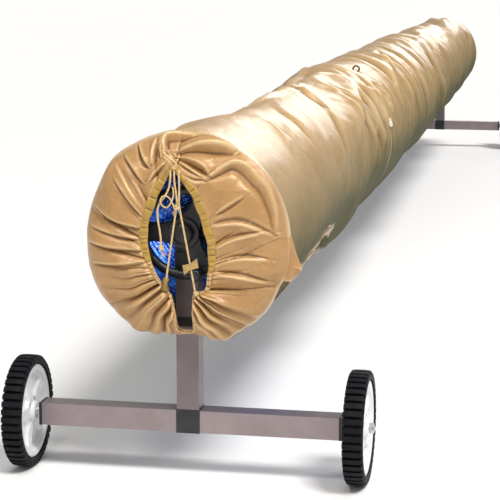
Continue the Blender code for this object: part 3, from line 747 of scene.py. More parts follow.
def make_cords():
    cords = {name: make_cord(name, sides=14, stands_for="drawcord_" + name)
             for name in ("left", "right", "tail")}
    trims = {
        "left": [make_cord("wrap", CORD_RADIUS * 1.1)[0], make_hem_tab(),
                 knot("knot_middle", (0.0015, CORD_Y - 0.004, 0.497), 0.0052, (0.3, 0.4, 0.2)),
                 fray("fray_middle", (-0.001, CORD_Y - 0.004, 0.494), (-0.45, 0, -1), 0.011, 5)],
        "right": [knot("knot_hem_right", (0.033, CORD_Y - 0.001, 0.349), 0.0036, (0.9, 0.2, 0))],
        "tail": [knot("knot_tail", (-0.0255, CORD_Y - 0.006, 0.428), 0.0042, (0.2, 0.8, 0.5)),
                 fray("fray_tail", (-0.0245, CORD_Y - 0.006, 0.421), (0.35, 0, -1), 0.014, 8)],
    }
    trims["left"].append(make_cord("loop", CORD_RADIUS * 0.8)[0])
    trims["right"].append(make_toggle())


def make_toggle():
    """Bow-tie tab: a strip of webbing gathered at its waist, where the cord passes through it."""
    build = Build()
    across = unit(np.array([-TOGGLE_AXIS[2], 0.0, TOGGLE_AXIS[0]]) - 0.30 * TOGGLE_AXIS)
    t = np.linspace(-1, 1, 33)[:, None]
    v = np.linspace(-1, 1, 15)[None, :]
    waist = 0.0052 + 0.0032 * np.abs(t) ** 1.5
    for out in (0.0022, -0.0022):
        bulge = out * (1.15 - 0.75 * t ** 2) + 0.0007 * np.cos(6 * v) * (1 - np.abs(t))
        points = (TOGGLE_MIDDLE + across * (0.0138 * t)[..., None]
                  + TOGGLE_AXIS * (waist * v)[..., None] - ALONG * bulge[..., None])
        cloth(build, points, False, 0.0010)
    for side in (-1, 1):
        edge = TOGGLE_MIDDLE + across * 0.0112 * side - ALONG * 0.0020
        tube(build, edge + np.outer(np.linspace(-0.0072, 0.0072, 12), TOGGLE_AXIS), 0.0005, sides=6,
             which=1)
    ring = TOGGLE_MIDDLE + np.outer(np.linspace(-0.0048, 0.0048, 7), TOGGLE_AXIS)
    tube(build, ring - ALONG * 0.0001, 0.0030, 0.0036, sides=14)
    return build.finish("cord_toggle_tab", "cord_toggle", "toggle_tab", "toggle", "thread",
                        stands_for="drawcord_toggle")


make_cords()


# ---- storage cover --------------------------------------------------------------------------------
FRONT_RADIUS, MIDDLE_RADIUS, REAR_RADIUS = 0.184, 0.180, 0.158
SAG = 0.008
# How far the front rim stands out (mm) at each angle (degrees, 0 at +X, turning up).
RIM_SHAPE = [(0, 2), (20, 0), (90, -1), (115, -3), (134, 1), (150, -9), (168, -9), (188, -8),
             (213, 2), (228, 1), (242, 5), (256, -8), (270, -16), (282, -6), (291, 11), (300, 5),
             (308, 7), (320, 7), (332, 2), (344, 6), (360, 2)]
# Edge of the opening from its top to its foot, about the panel's centre (x, z), on each side.
OPENING = {
    1: [(-0.006, 0.122), (0.003, 0.109), (0.021, 0.087), (0.035, 0.056), (0.0455, 0.024),
        (0.0526, -0.006), (0.054, -0.034), (0.0515, -0.062), (0.046, -0.081), (0.029, -0.088),
        (0.0245, -0.102), (0.0235, -0.1275), (0.0215, -0.156), (0.0085, -0.1605)],
    -1: [(-0.006, 0.122), (-0.0115, 0.118), (-0.030, 0.087), (-0.042, 0.056), (-0.051, 0.030),
         (-0.0525, 0.001), (-0.0485, -0.028), (-0.037, -0.057), (-0.027, -0.073),
         (-0.018, -0.084), (-0.0105, -0.097), (-0.0060, -0.1275), (-0.0045, -0.156),
         (0.0085, -0.1605)],
}
# How the cloth is shared out along each side: rim angle from the top, share of the edge's length.
GATHER = {
    1: [(0, 0.0), (20, 0.157), (45, 0.371), (90, 0.566), (115, 0.688), (140, 0.735), (155, 0.765),
        (163, 0.79), (172, 0.88), (180, 1.0)],
    -1: [(0, 0.0), (20, 0.145), (45, 0.321), (90, 0.530), (115, 0.61), (140, 0.681), (155, 0.746),
         (163, 0.79), (172, 0.87), (180, 1.0)],
}
FURTHEST_Y = 2.7055  # the end panels reach no further out than this


def from_top(degrees):
    """How many degrees away from the top of the opening, on either side."""
    return np.abs((degrees + 180) % 360 - 180)


def rim_offset(angle):
    at, out = np.array(RIM_SHAPE, float).T
    fine = np.linspace(0, 360, 361)
    shape = np.interp(fine, at, out)
    padded = np.concatenate([shape[-13:-1], shape, shape[1:13]])
    smooth = np.convolve(padded, np.ones(9) / 9, "same")[12:-12]
    return np.interp(np.degrees(angle) % 360, fine, smooth) * MM


def cover_radius(y):
    share = np.abs(y) / COVER_HALF
    end = np.where(y < 0, FRONT_RADIUS, REAR_RADIUS)
    return MIDDLE_RADIUS + share * (end - MIDDLE_RADIUS)


def cover_height(y):
    return COVER_Z - SAG * (1 - np.abs(y) / COVER_HALF)


def edge_point(side, share):
    """Points on one side of the opening, at shares of its length from the top."""
    guide = [(x, 0, z) for x, z in OPENING[side]]
    path, _ = smooth_route(guide, 0.001)
    run = np.linspace(0, 1, len(path))
    return np.interp(share, run, path[:, 0]), np.interp(share, run, path[:, 2])


def opening_point(turn, scale):
    """Edge of the opening at each rim angle from the top, clockwise from the front, in radians."""
    degrees = np.degrees(turn) % 360
    half = np.where(degrees > 180, 360 - degrees, degrees)
    sides = []
    for side in (1, -1):
        at, share = np.array(GATHER[side], float).T
        sides.append(edge_point(side, np.interp(half, at, share)))
    x = np.where(degrees > 180, sides[1][0], sides[0][0])
    z = np.where(degrees > 180, sides[1][1], sides[0][1])
    return x * scale, z * scale


def dome(share):
    """Distance of an end panel's face beyond its seam, at a share of its radius."""
    return 0.0565 * np.clip(1 - np.clip(share, 0, 1) ** 5, 0, 1) ** 0.65


def casing_half(degrees):
    """Half width of the drawcord casing, which is scrunched narrow where the gathers are dense."""
    return np.interp(from_top(degrees), [0, 12, 30, 70, 100, 150, 172, 180],
                     [3.0, 6.5, 8.0, 7.5, 4.0, 2.6, 2.8, 1.8]) * MM


class Pleats:
    """Gathers round an opening, merging two by two as they run outwards."""

    def __init__(self, seed):
        rng = np.random.default_rng(seed)
        at = 0.0
        valleys = []
        while at < 359:
            valleys.append(at)
            away = from_top(at)
            step = 9.5 if away < 50 else (6.2 if away < 110 else 5.6)
            at += step * rng.uniform(0.68, 1.32)
        self.levels = []
        level = np.array(valleys)
        for depth, reach in ((0.0060, 0.020), (0.0080, 0.040), (0.0105, 0.075), (0.0095, 0.15)):
            gaps = len(level)
            self.levels.append((level, depth * rng.uniform(0.45, 1.25, gaps),
                                reach * rng.uniform(0.6, 1.5, gaps)))
            pairs = np.arange(0, gaps, 2)
            keep = pairs + rng.integers(0, 2, len(pairs))
            level = level[np.unique(np.clip(keep, 0, gaps - 1))]

    @staticmethod
    def share(valleys, degrees):
        """Which gather each angle is in, and how far across it, from 0 to 1."""
        start = valleys - valleys[0]
        turn = (degrees - valleys[0]) % 360
        index = np.searchsorted(start, turn, side="right") - 1
        return index, (turn - start[index]) / (np.append(start[1:], 360.0)[index] - start[index])

    def height(self, degrees, distance):
        """Height of the gathers at an angle and a distance from the edge of the opening."""
        total = 0.0
        casing = 2.0 * casing_half(degrees)
        upper = 1 - ease(from_top(degrees), 35, 75)
        near = ease(distance, casing - 0.003, casing + 0.009)
        sharp = 0.55 + 0.5 * ease(distance, 0.01, 0.08)
        for number, (valleys, depth, reach) in enumerate(self.levels):
            index, share = self.share(valleys, degrees)
            arch = np.sin(np.pi * np.clip(share, 0, 1)) ** sharp - 0.62
            fade = np.exp(-np.clip(distance, 0, None) / reach[index])
            calm = 1 - 0.50 * upper * (1 if number < 2 else 0.2)
            total = total + depth[index] * arch * near * fade * calm
        return total


def ridge(x, z, points, width, height, steep, blunt=0.5):
    """A crested fold along a line in the panel's plane, steep on its left (1) or its right (-1)."""
    path, _ = smooth_route([(px, 0, pz) for px, pz in points], 0.004)
    run = np.linspace(0, 1, len(path))
    best = np.full(np.broadcast(x, z).shape, 1e9)
    along, across = np.zeros(best.shape), np.zeros(best.shape)
    for k in range(len(path) - 1):
        ax, az = path[k, 0], path[k, 2]
        dx, dz = path[k + 1, 0] - ax, path[k + 1, 2] - az
        size = math.hypot(dx, dz)
        share = np.clip(((x - ax) * dx + (z - az) * dz) / size ** 2, 0, 1)
        gx, gz = x - ax - share * dx, z - az - share * dz
        gap = gx * gx + gz * gz
        closer = gap < best
        best = np.where(closer, gap, best)
        along = np.where(closer, run[k] + share * (run[k + 1] - run[k]), along)
        across = np.where(closer, np.sign(dx * gz - dz * gx) * np.sqrt(gap), across)
    across = across * steep
    taper = np.sin(np.pi * np.clip(along, 0.0, 1.0) ** blunt) ** 0.7
    taper = np.where((along <= 0) | (along >= 1), 0.25 * np.exp(-best / (0.3 * width) ** 2), taper)
    spread = width * (0.35 + 0.65 * taper)
    gentle = np.exp(-np.abs(across) / (0.7 * spread))
    sharp = np.clip(1 - across / (0.28 * spread + 0.0015), 0, 1) ** 1.2
    groove = bell(across - 0.36 * spread, 0.20 * spread + 0.001)
    return height * taper * (np.where(across < 0, gentle, sharp) - 0.45 * groove)


# Folds of the front panel about its centre: crest line (x, z), width, height, steep side, bluntness.
PANEL_FOLDS = [
    ([(-0.024, 0.150), (-0.024, 0.172), (0.008, 0.180), (0.036, 0.178), (0.050, 0.170)],
     0.016, 0.0100, -1, 0.7),
    ([(-0.018, 0.152), (0.025, 0.161), (0.067, 0.158), (0.094, 0.148)], 0.026, 0.0135, -1, 1.5),
    ([(-0.006, 0.147), (0.020, 0.141), (0.044, 0.130), (0.055, 0.117)], 0.024, 0.0125, -1, 1.5),
    ([(-0.002, 0.138), (0.018, 0.127), (0.040, 0.114)], 0.010, 0.0050, -1, 1.0),
    ([(0.050, 0.110), (0.070, 0.124), (0.090, 0.134), (0.110, 0.128), (0.130, 0.108), (0.147, 0.088),
      (0.161, 0.052), (0.166, 0.018)], 0.030, 0.0095, -1, 0.8),
    ([(0.064, 0.050), (0.090, 0.068), (0.114, 0.083)], 0.016, 0.0042, -1, 0.9),
    ([(0.062, 0.030), (0.110, 0.034), (0.163, 0.012)], 0.020, 0.0060, 1, 0.7),
    ([(0.062, -0.010), (0.100, 0.008), (0.150, 0.020)], 0.018, 0.0060, 1, 0.7),
    ([(0.062, -0.036), (0.110, -0.026), (0.160, -0.030)], 0.018, 0.0058, 1, 0.7),
    ([(0.060, -0.052), (0.110, -0.058), (0.158, -0.072)], 0.018, 0.0062, 1, 0.7),
    ([(-0.059, 0.043), (-0.085, 0.074), (-0.114, 0.106)], 0.016, 0.0062, 1, 0.7),
    ([(-0.060, 0.056), (-0.088, 0.094), (-0.116, 0.130)], 0.014, 0.0052, -1, 0.8),
    ([(-0.062, 0.024), (-0.110, 0.034), (-0.158, 0.056)], 0.018, 0.0068, 1, 0.7),
    ([(-0.062, 0.004), (-0.105, 0.010), (-0.160, 0.022)], 0.016, 0.0056, 1, 0.8),
    ([(-0.062, -0.014), (-0.110, -0.012), (-0.162, -0.006)], 0.018, 0.0066, 1, 0.7),
    ([(-0.058, -0.034), (-0.105, -0.040), (-0.158, -0.044)], 0.018, 0.0062, 1, 0.7),
    ([(-0.050, 0.126), (-0.061, 0.140), (-0.078, 0.164)], 0.014, 0.0085, 1, 0.7),
    ([(-0.044, 0.130), (-0.046, 0.150), (-0.044, 0.172)], 0.013, 0.0085, -1, 0.8),
    ([(-0.030, 0.140), (-0.032, 0.158), (-0.024, 0.178)], 0.010, 0.0070, 1, 0.8),
    ([(-0.022, 0.134), (-0.040, 0.118), (-0.052, 0.100)], 0.011, 0.0065, 1, 0.8),
    ([(-0.060, 0.100), (-0.084, 0.128), (-0.104, 0.146)], 0.016, 0.0060, 1, 0.8),
    ([(0.012, 0.112), (0.028, 0.104), (0.050, 0.104)], 0.009, 0.0040, 1, 0.9),
]
# The fan beside the foot of the opening: angle and width in degrees, depth.
FAN_FOLDS = [(150, 3.4, 0.014), (141, 2.8, 0.012), (159, 2.6, 0.011), (166, 2.2, 0.009),
             (131, 3.4, 0.010), (211, 3.4, 0.013), (220, 2.8, 0.010), (200, 2.6, 0.011),
             (192, 2.2, 0.009)]


def make_end_panel(end):
    """An end panel, from its seam (t = 0) in to the edge of its opening (t = 1)."""
    front = end == "front"
    sign = -1 if front else 1
    radius = FRONT_RADIUS if front else REAR_RADIUS
    scale = radius / FRONT_RADIUS
    rows, columns = 560, 76
    turn = circle(rows)[:, None]
    t = (np.linspace(0, 1, columns) ** 0.92)[None, :]
    rim = radius + rim_offset(np.pi / 2 - turn) * (1 if front else 0.5)
    rim_x, rim_z = rim * np.sin(turn), rim * np.cos(turn)
    edge_x, edge_z = opening_point(turn, scale)
    x = rim_x * (1 - t) + edge_x * t
    z = rim_z * (1 - t) + edge_z * t
    share = np.hypot(x, z) / rim
    distance = (1 - t) * (np.hypot(rim_x - edge_x, rim_z - edge_z) + 0.02)
    base = np.stack([x, sign * (STAND_Y + SEAM_OUT + dome(share)), COVER_Z + z], -1)
    normal = grid_normals(base, True)
    if np.sum(normal[..., 1]) * sign < 0:
        normal = -normal
    drift = math.radians(5.0) * soft_noise(np.degrees(turn) / 40 + 0 * t, 1.3 + 2.2 * (1 - t), 31) \
        * (1 - t) ** 0.7 * ease(1 - t, 0.02, 0.5)
    degrees = np.degrees(turn + drift) % 360
    pleats = Pleats(7 if front else 19)
    lift = pleats.height(degrees, distance) * scale
    lift += 0.0030 * soft_noise(x / 0.07, z / 0.06, 3) * ease(distance, 0.01, 0.05) \
        * ease(1 - share, 0.0, 0.12)
    lift += 0.0042 * facet_noise(x / 0.05 + 0.3 * z / 0.05, z / 0.045, 12) \
        * ease(distance, 0.015, 0.05) * ease(1 - share, 0.0, 0.08)
    for middle, width, deep in FAN_FOLDS:
        gap = (degrees - middle) / width
        lift += deep * scale * (bell(gap) - 0.8 * bell(gap - 1.5, 0.7)) \
            * np.exp(-distance / 0.085) * ease(distance, -0.002, 0.012)
    if front:
        for fold in PANEL_FOLDS:
            lift += 1.15 * ridge(x, z, *fold)
    # the cloth is pulled flat at its seam
    lift *= ease(np.abs(share - 1) * radius, 0.0, 0.006) * 0.85 + 0.15
    points = base + normal * lift[..., None]
    points[..., 1] = sign * np.minimum(sign * points[..., 1], FURTHEST_Y)
    u = np.append(turn, 2 * np.pi) * radius
    v = np.linspace(0, 0.16, columns)
    if np.sum(grid_normals(points, True)[..., 1]) * sign < 0:
        points, v = points[:, ::-1], v[::-1]
    build = Build()
    cloth(build, points, True, uv=(u, v))
    panel = build.finish(end + "_panel_cloth", ROOT, "cover_fabric", "cover", "hem",
                         stands_for=end + "_cover_panel")
    make_hem(end, pleats, scale, sign)


def make_hem(end, pleats, scale, sign):
    """The drawcord casing round an opening: a flat tube of cloth scrunched along the cord."""
    turn = circle(900)
    x, z = opening_point(turn, scale)
    path = np.stack([x, 0 * x, z], -1)
    closing = np.vstack([path, path[:1]])
    run = run_along(closing)
    count, sides = 520, 20
    at = np.linspace(0, run[-1], count, endpoint=False)
    degrees = np.interp(at, run, np.append(np.degrees(turn), 360.0))
    path = read_path(closing, run, at)
    tangent = unit(np.roll(path, -1, 0) - np.roll(path, 1, 0))
    outward = np.stack([-tangent[:, 2], 0 * tangent[:, 0], tangent[:, 0]], -1)
    if np.sum(outward[:, 0] * path[:, 0]) < 0:
        outward = -outward
    half = casing_half(degrees) * scale
    pinch = np.sin(np.pi * pleats.share(pleats.levels[0][0], degrees)[1]) ** 0.45
    full = 0.55 + 0.45 * pinch
    centre = path + outward * (half * 0.9)[:, None]
    share = np.hypot(centre[:, 0], centre[:, 2]) / (FRONT_RADIUS * scale)
    centre[:, 1] = SEAM_OUT + dome(share) + 0.0016 + 0.0012 * (pinch - 0.5)
    centre[:, 1] = sign * (STAND_Y + centre[:, 1])
    centre[:, 2] += COVER_Z
    angle = circle(sides)
    wrinkle = 1 + 0.10 * np.sin(3 * angle[None, :] + 1.7 * np.arange(count)[:, None] / 9)
    wide = (half * (0.80 + 0.20 * full))[:, None] * np.cos(angle) * wrinkle
    rng = np.random.default_rng(91)
    at_crease, creased = 0.012, np.zeros(count)
    while at_crease < run[-1] - 0.02:
        creased = np.maximum(creased, rng.uniform(0.6, 1.0) * bell(at - at_crease, 0.0016))
        at_crease += rng.uniform(0.016, 0.034)
    full = full * (1 - 0.75 * creased)
    deep = (0.0026 * scale * full)[:, None] * bent(np.sin(angle), 0.8) * wrinkle
    ring = (centre[:, None, :] + outward[:, None, :] * wide[..., None]
            + sign * ALONG * deep[..., None])
    faces = grid_faces(count, sides, True, True)
    row, column = np.divmod(faces, sides)
    lower = from_top(degrees[row[:, 0]]) > 92
    build = Build()
    build.add(ring, faces if sign > 0 else faces[:, ::-1], lower.astype(int),
              np.stack([at[row], column * 0.002], -1))
    return build.finish(end + "_hem_casing", ROOT, "cover_fabric", "hem", "cover")


LOW_EDGE, HIGH_EDGE = math.radians(-72), math.radians(252)
# Place along, then where the strap starts and stops and where its slider sits, in degrees.
STRAPS = {1: (-2.12, -118, -17, -90), 2: (-1.08, -118, 40, 16), 3: (0.56, -118, -62, -90),
          4: (1.90, -118, -62, -90)}


def low_edge(y):
    """The cloth's right lower edge, which has ridden up near the front."""
    raised = ease(y, -2.61, -2.44) * (1 - ease(y, -1.98, -1.72))
    return LOW_EDGE + math.radians(44) * raised * (1 + 0.05 * np.sin(11 * y) + 0.03 * np.sin(29 * y))


def around_barrel(y, count, inset=0.0):
    """Angles from one lower edge to the other, a row of them for each place along."""
    low = low_edge(y) + inset
    return low + (HIGH_EDGE - inset - low) * np.linspace(0, 1, count)[None, :]


def strap_hold(angle, y):
    """How firmly the straps press the cover, from 0 to 1."""
    hold = 0.0
    for place, start, stop, _ in STRAPS.values():
        low, high = math.radians(start), math.radians(stop)
        around = ease(angle, low - 0.25, low) * (1 - ease(angle, high, high + 0.12))
        left = ease(angle - 2 * math.pi, low - 0.25, low)
        hold = np.maximum(hold, np.exp(-((y - place) / 0.030) ** 4) * np.maximum(around, left))
    return hold


# Single folds: points (degrees, place along), width of the gentle side, height, and steep side,
# which is 1 for the rear.
BARREL_FOLDS = [
    ([(94, -1.10), (86, -1.03), (60, -1.16), (34, -1.10), (18, -1.17)], 0.055, 0.0110, 1),
    ([(92, -1.42), (79, -1.34), (59, -1.26), (44, -1.42), (15, -1.76)], 0.075, 0.0135, 1),
    ([(60, -1.70), (54, -1.73), (20, -1.80), (10, -1.84)], 0.060, 0.0070, -1),
    ([(40, -1.90), (34, -1.93), (18, -1.95), (2, -2.12)], 0.050, 0.0060, 1),
    ([(96, -2.25), (89, -2.04), (82, -1.75), (79, -1.55)], 0.030, 0.0100, -1),
    ([(90, -1.66), (84, -1.68), (68, -1.74), (50, -1.72)], 0.045, 0.0100, -1),
    ([(92, -1.96), (82, -1.80), (62, -1.58), (52, -1.50)], 0.030, 0.0080, 1),
    ([(104, -1.40), (98, -1.32), (72, -1.20), (60, -1.22)], 0.032, 0.0065, -1),
    ([(84, -1.38), (66, -1.49), (48, -1.47), (38, -1.46)], 0.035, 0.0080, 1),
    ([(96, -0.04), (87, -0.14), (49, -0.61), (20, -0.78)], 0.055, 0.0120, 1),
    ([(110, -0.06), (104, -0.15), (70, -0.28), (38, -0.64)], 0.045, 0.0100, 1),
    ([(46, -0.46), (38, -0.50), (16, -0.55), (-16, -0.59)], 0.045, 0.0130, 1),
    ([(30, -1.57), (15, -1.60), (-4, -1.65)], 0.036, 0.0090, 1),
    ([(40, -1.27), (30, -1.31), (6, -1.48)], 0.038, 0.0100, 1),
    ([(30, -1.16), (19, -1.20), (1, -1.31)], 0.032, 0.0090, 1),
    ([(14, -1.33), (4, -1.35), (-14, -1.38)], 0.030, 0.0080, 1),
    ([(24, -0.74), (10, -0.81), (-2, -0.99)], 0.034, 0.0090, 1),
    ([(34, -0.60), (18, -0.61), (-12, -0.65)], 0.030, 0.0090, 1),
    ([(78, -2.00), (68, -2.09), (59, -2.12), (35, -2.15)], 0.040, 0.0055, -1),
    ([(76, -2.22), (70, -2.26), (52, -2.28), (40, -2.33)], 0.034, 0.0050, 1),
    ([(62, -2.18), (52, -2.23), (44, -2.33)], 0.026, 0.0045, -1),
    ([(120, -2.45), (112, -2.00), (104, -1.40), (100, -1.05)], 0.030, 0.0075, 1),
    ([(134, -2.40), (124, -1.90), (114, -1.30), (106, -0.85)], 0.034, 0.0080, -1),
    ([(108, -2.30), (102, -1.95), (97, -1.55), (93, -1.25)], 0.024, 0.0065, 1),
    ([(126, -1.45), (116, -1.05), (108, -0.70), (98, -0.50)], 0.030, 0.0075, 1),
    ([(52, -0.99), (46, -0.965), (37, -0.945)], -0.011, 0.0150, 1),
    ([(41, -0.92), (34, -0.98), (18, -1.05)], 0.026, 0.0110, -1),
]
EYELET = (math.radians(70), -0.884)
# Where the cloth lies down on the roll: from and to along the reel, from and to in degrees, depth.
SHOULDER_HOLLOWS = [(-2.64, -2.24, 88, 150, 0.020), (-2.36, -0.98, 84, 150, 0.030)]


def scattered_folds():
    """Gathers of the middle and the rear, leaning back over the top and ending low in a point."""
    rng = np.random.default_rng(58)
    folds = []
    at = -1.55
    while at < 2.66:
        rear = float(ease(at, -0.3, 1.0))
        top = rng.uniform(88, 128) if at > -0.8 else rng.uniform(48, 80)
        low = rng.uniform(-34, 6) if at > -0.3 else rng.uniform(-28, 20)
        degrees = np.linspace(top, low, 6)
        lean = 0.85 * (0.25 + 0.75 * rear) * (np.clip(degrees - 8, 0, None) / 92) ** 2
        wander = np.cumsum(rng.uniform(-0.012, 0.012, 6))
        height = rng.uniform(0.55, 1.30) * (0.0125 - 0.0035 * rear)
        width = rng.uniform(0.026, 0.048) * (1 + 0.15 * rear)
        folds.append((list(zip(degrees, at + lean + wander)), width, height,
                      1 if rng.uniform() < 0.8 else -1, 0.22 + 0.22 * rear))
        at += rng.uniform(0.035, 0.085) * (1.10 - 0.10 * rear)
    at = -1.5
    while at < 2.6:
        start = rng.uniform(100, 172)
        degrees = np.linspace(start, start + rng.uniform(35, 75), 4)
        folds.append((list(zip(degrees, at + 0.85 + np.cumsum(rng.uniform(-0.02, 0.02, 4)))),
                      rng.uniform(0.030, 0.055), rng.uniform(0.004, 0.009),
                      1 if rng.uniform() < 0.5 else -1))
        at += rng.uniform(0.04, 0.12)
    return folds


FOLDS = BARREL_FOLDS + scattered_folds()


def fold_height(angle, y, points, width, height, side, drop=0.22):
    """A creased fold: a gentle slope up to a crest, then a short steep side with a groove below it.

    A width below zero makes a plain hollow of that half width instead.
    """
    at, place = np.array(sorted(points), float).T
    at = np.radians(at)
    fine = np.linspace(at[0], at[-1], 60)
    line = np.interp(fine, at, place)
    kernel = np.hanning(17)
    kernel /= kernel.sum()
    line = np.convolve(np.pad(line, 8, "edge"), kernel, "valid")
    slope = np.gradient(line, fine * MEAN_RADIUS)
    around = np.interp(angle, fine, np.linspace(0, 1, 60), left=-1, right=-1)
    reach = np.interp(angle, fine, line)
    lean = np.interp(angle, fine, slope)
    across = (y - reach) / np.sqrt(1 + lean * lean) * side
    taper = np.sin(np.pi * np.clip(around, 0, 1)) ** 0.75
    if width < 0:
        return -height * taper * bell(across, width) * (around >= 0)
    spread = width * (0.30 + 0.70 * taper)
    gentle = np.exp(-np.abs(across) / (0.62 * spread))
    fall = drop * spread + 0.0055
    steep = np.clip(1 - across / fall, 0, 1) ** 1.3
    groove = bell(across - 1.15 * fall, 0.7 * fall)
    shape = np.where(across < 0, gentle, steep) - 0.40 * groove
    return height * taper * shape * (around >= 0)


def barrel_relief(angle, y):
    """Height of the barrel's folds over its smooth shape, at an angle from +X and a place along."""
    angle, y = np.broadcast_arrays(angle, y)
    s = angle * MEAN_RADIUS
    middle = ease(y, -2.3, -1.45)
    flank = 0.65 + 0.35 * ease(angle, math.radians(-30), math.radians(10))
    bend = 0.05 * soft_noise(s / 0.22, y / 0.30, 41)
    broad = soft_noise(s / 0.20 + 0.3 * y, y / 0.34, 43, 2)
    slant = y - 0.9 * s + bend
    folds = facet_noise(s / 0.17 - 0.5 * y, slant / 0.125, 44)
    small = facet_noise(s / 0.085 + 1.1 * y, (y - 1.3 * s + bend) / 0.052, 45)
    fine = facet_noise(s / 0.045, y / 0.030 + 0.6 * s / 0.03, 46)
    lift = 0.0055 * broad
    for low, high, start, stop, deep in SHOULDER_HOLLOWS:
        lift -= deep * ease(angle, math.radians(start), math.radians(start + 16)) \
            * (1 - ease(angle, math.radians(stop - 20), math.radians(stop))) \
            * ease(y, low, low + 0.16) * (1 - ease(y, high - 0.22, high))
    lift = lift + (0.0018 + 0.0058 * middle) * folds * flank
    lift += (0.0010 + 0.0044 * middle) * small * flank
    lift += (0.0003 + 0.0010 * middle) * fine * flank
    for fold in FOLDS:
        places = [place for _, place in fold[0]]
        if np.min(y) - 0.4 < max(places) and min(places) < np.max(y) + 0.4:
            lift += 1.18 * fold_height(angle, y, *fold)
    # the star of small folds round the eyelet
    side, along = (angle - EYELET[0]) * MEAN_RADIUS, y - EYELET[1]
    away = np.hypot(side, along)
    star = np.abs(np.cos(2.5 * np.arctan2(side, along) + 0.5))
    lift += 0.0065 * (star - 0.6) * bell(away, 0.060) * ease(away, 0.004, 0.022)
    lift -= 0.0030 * bell(away, 0.020)
    # short pulls that start at the front seam
    pull = facet_noise(s / 0.030 + 0.8, 0 * y + 0.4, 49)
    lift += 0.0018 * pull * np.exp(-(y + COVER_HALF) / 0.07) * ease(y + COVER_HALF, 0.0, 0.02)
    return lift


def ends_ease(y, low, high):
    """Rises from 0 to 1 between two distances in from the nearer end of the cover."""
    return ease(y + COVER_HALF, low, high) * ease(COVER_HALF - y, low, high)


def barrel_points(angle, y):
    near, far = (np.exp(-np.clip(COVER_HALF + sign * y, 0, None) / 0.10) for sign in (1, -1))
    hold = strap_hold(angle, y)
    lift = barrel_relief(angle, y) * ends_ease(y, 0, 0.012)
    lift *= 0.3 + 0.7 * ease(COVER_HALF - y, 0.0, 0.18)
    for at in (-SEAM_Y, SEAM_Y):
        lift -= 0.004 * bell(y - at, 0.010)
    lift *= 1 - 0.4 * np.clip(bell(y + SEAM_Y, 0.030) + bell(y - SEAM_Y, 0.030), 0, 1)
    lift *= 1 - 0.96 * hold
    for at in (-COVER_HALF + 0.004, COVER_HALF - 0.004):
        lift += 0.0016 * bell(y - at, 0.0035)
    r = cover_radius(y) + rim_offset(angle) * (near + 0.5 * far) + lift
    x = r * np.cos(angle)
    z = cover_height(y) + r * np.sin(angle)
    # the lower flanks hang free of the roll
    hang = ease(-np.sin(angle), 0.15, 0.95) * ends_ease(y, 0.05, 0.7) * (1 - hold)
    z -= 0.011 * hang * (1 + 0.6 * soft_noise(y / 0.19, 0 * angle + 2.2, 50))
    x *= 1 - 0.05 * hang
    # the cloth stays outside the roll
    push = np.where(np.abs(y) < ROLL_END, np.maximum(1, ROLL_CLEAR / np.hypot(x, z - HUB_Z)), 1.0)
    return np.stack([x * push, y + 0 * r, HUB_Z + (z - HUB_Z) * push], -1)


def make_barrel():
    """The three lengths of the barrel, as the pieces and their flat sizes."""
    sheets = {}
    for name, low, high, rows, columns in (("front", -COVER_HALF, -SEAM_Y, 370, 132),
                                           ("middle", -SEAM_Y, SEAM_Y, 470, 103),
                                           ("rear", SEAM_Y, COVER_HALF, 470, 103)):
        y = np.linspace(low, high, rows)[:, None]
        angle = around_barrel(y, columns)
        points = barrel_points(angle, y)
        for _ in range(2):
            points[:, 1:-1] = (points[:, :-2] + 2 * points[:, 1:-1] + points[:, 2:]) / 4
        points[1:-1] = (points[:-2] + 2 * points[1:-1] + points[2:]) / 4
        # the outermost rows of faces are hem
        which = np.zeros((rows - 1, columns - 1), int)
        which[:, [0, 1, 2, -3, -2, -1]] = 1
        v = angle[-1] * MEAN_RADIUS
        if grid_normals(points, False)[rows // 2, columns // 2, 2] < 0:
            points, which, v = points[:, ::-1], which[:, ::-1], v[::-1]
        build = Build()
        cloth(build, points, False, which=which.ravel(), uv=(y[:, 0], v))
        piece = build.finish(f"barrel_cloth_{name}", ROOT, "cover_fabric", "barrel", "hem",
                             stands_for="cover_barrel" if name == "front" else None)
        width = float(HIGH_EDGE - LOW_EDGE) * float(cover_radius(np.array((low + high) / 2)))
        sheets[name] = (piece, (width, high - low))
    return sheets


make_end_panel("front")
make_end_panel("rear")
BARREL = make_barrel()


def section_point(y, degrees, lift):
    """A place on the smooth cover, lifted off it."""
    angle = np.radians(degrees)
    radius = cover_radius(np.asarray(y, float)) + lift
    return np.stack([radius * np.cos(angle), y + 0 * angle,
                     cover_height(np.asarray(y, float)) + radius * np.sin(angle)], -1)


def stitch_row(build, path, normal, which=0):
    """Short thread stitches along a path, proud of the surface that has those normals."""
    long, pitch, fat = 0.0030, 0.0045, 0.0004
    run = run_along(path)
    at = np.arange(pitch / 2, run[-1] - long, pitch)
    start, end = read_path(path, run, at), read_path(path, run, at + long)
    up = read_path(normal, run, at)
    side = unit(np.cross(unit(end - start), up))
    ring = [side * fat - up * fat, side * fat * 0.7 + up * fat, up * fat - side * fat * 0.7,
            -side * fat - up * fat]
    middle = (start + end) / 2
    verts = np.stack([place + size * r for place, size in ((start, 0.4), (middle, 1), (end, 0.4))
                      for r in ring], 1)
    quads = np.concatenate([grid_faces(3, 4, False, True), [(0, 1, 2, 3), (11, 10, 9, 8)]])
    faces = quads[None] + 12 * np.arange(len(at))[:, None, None]
    build.add(verts, faces, which)


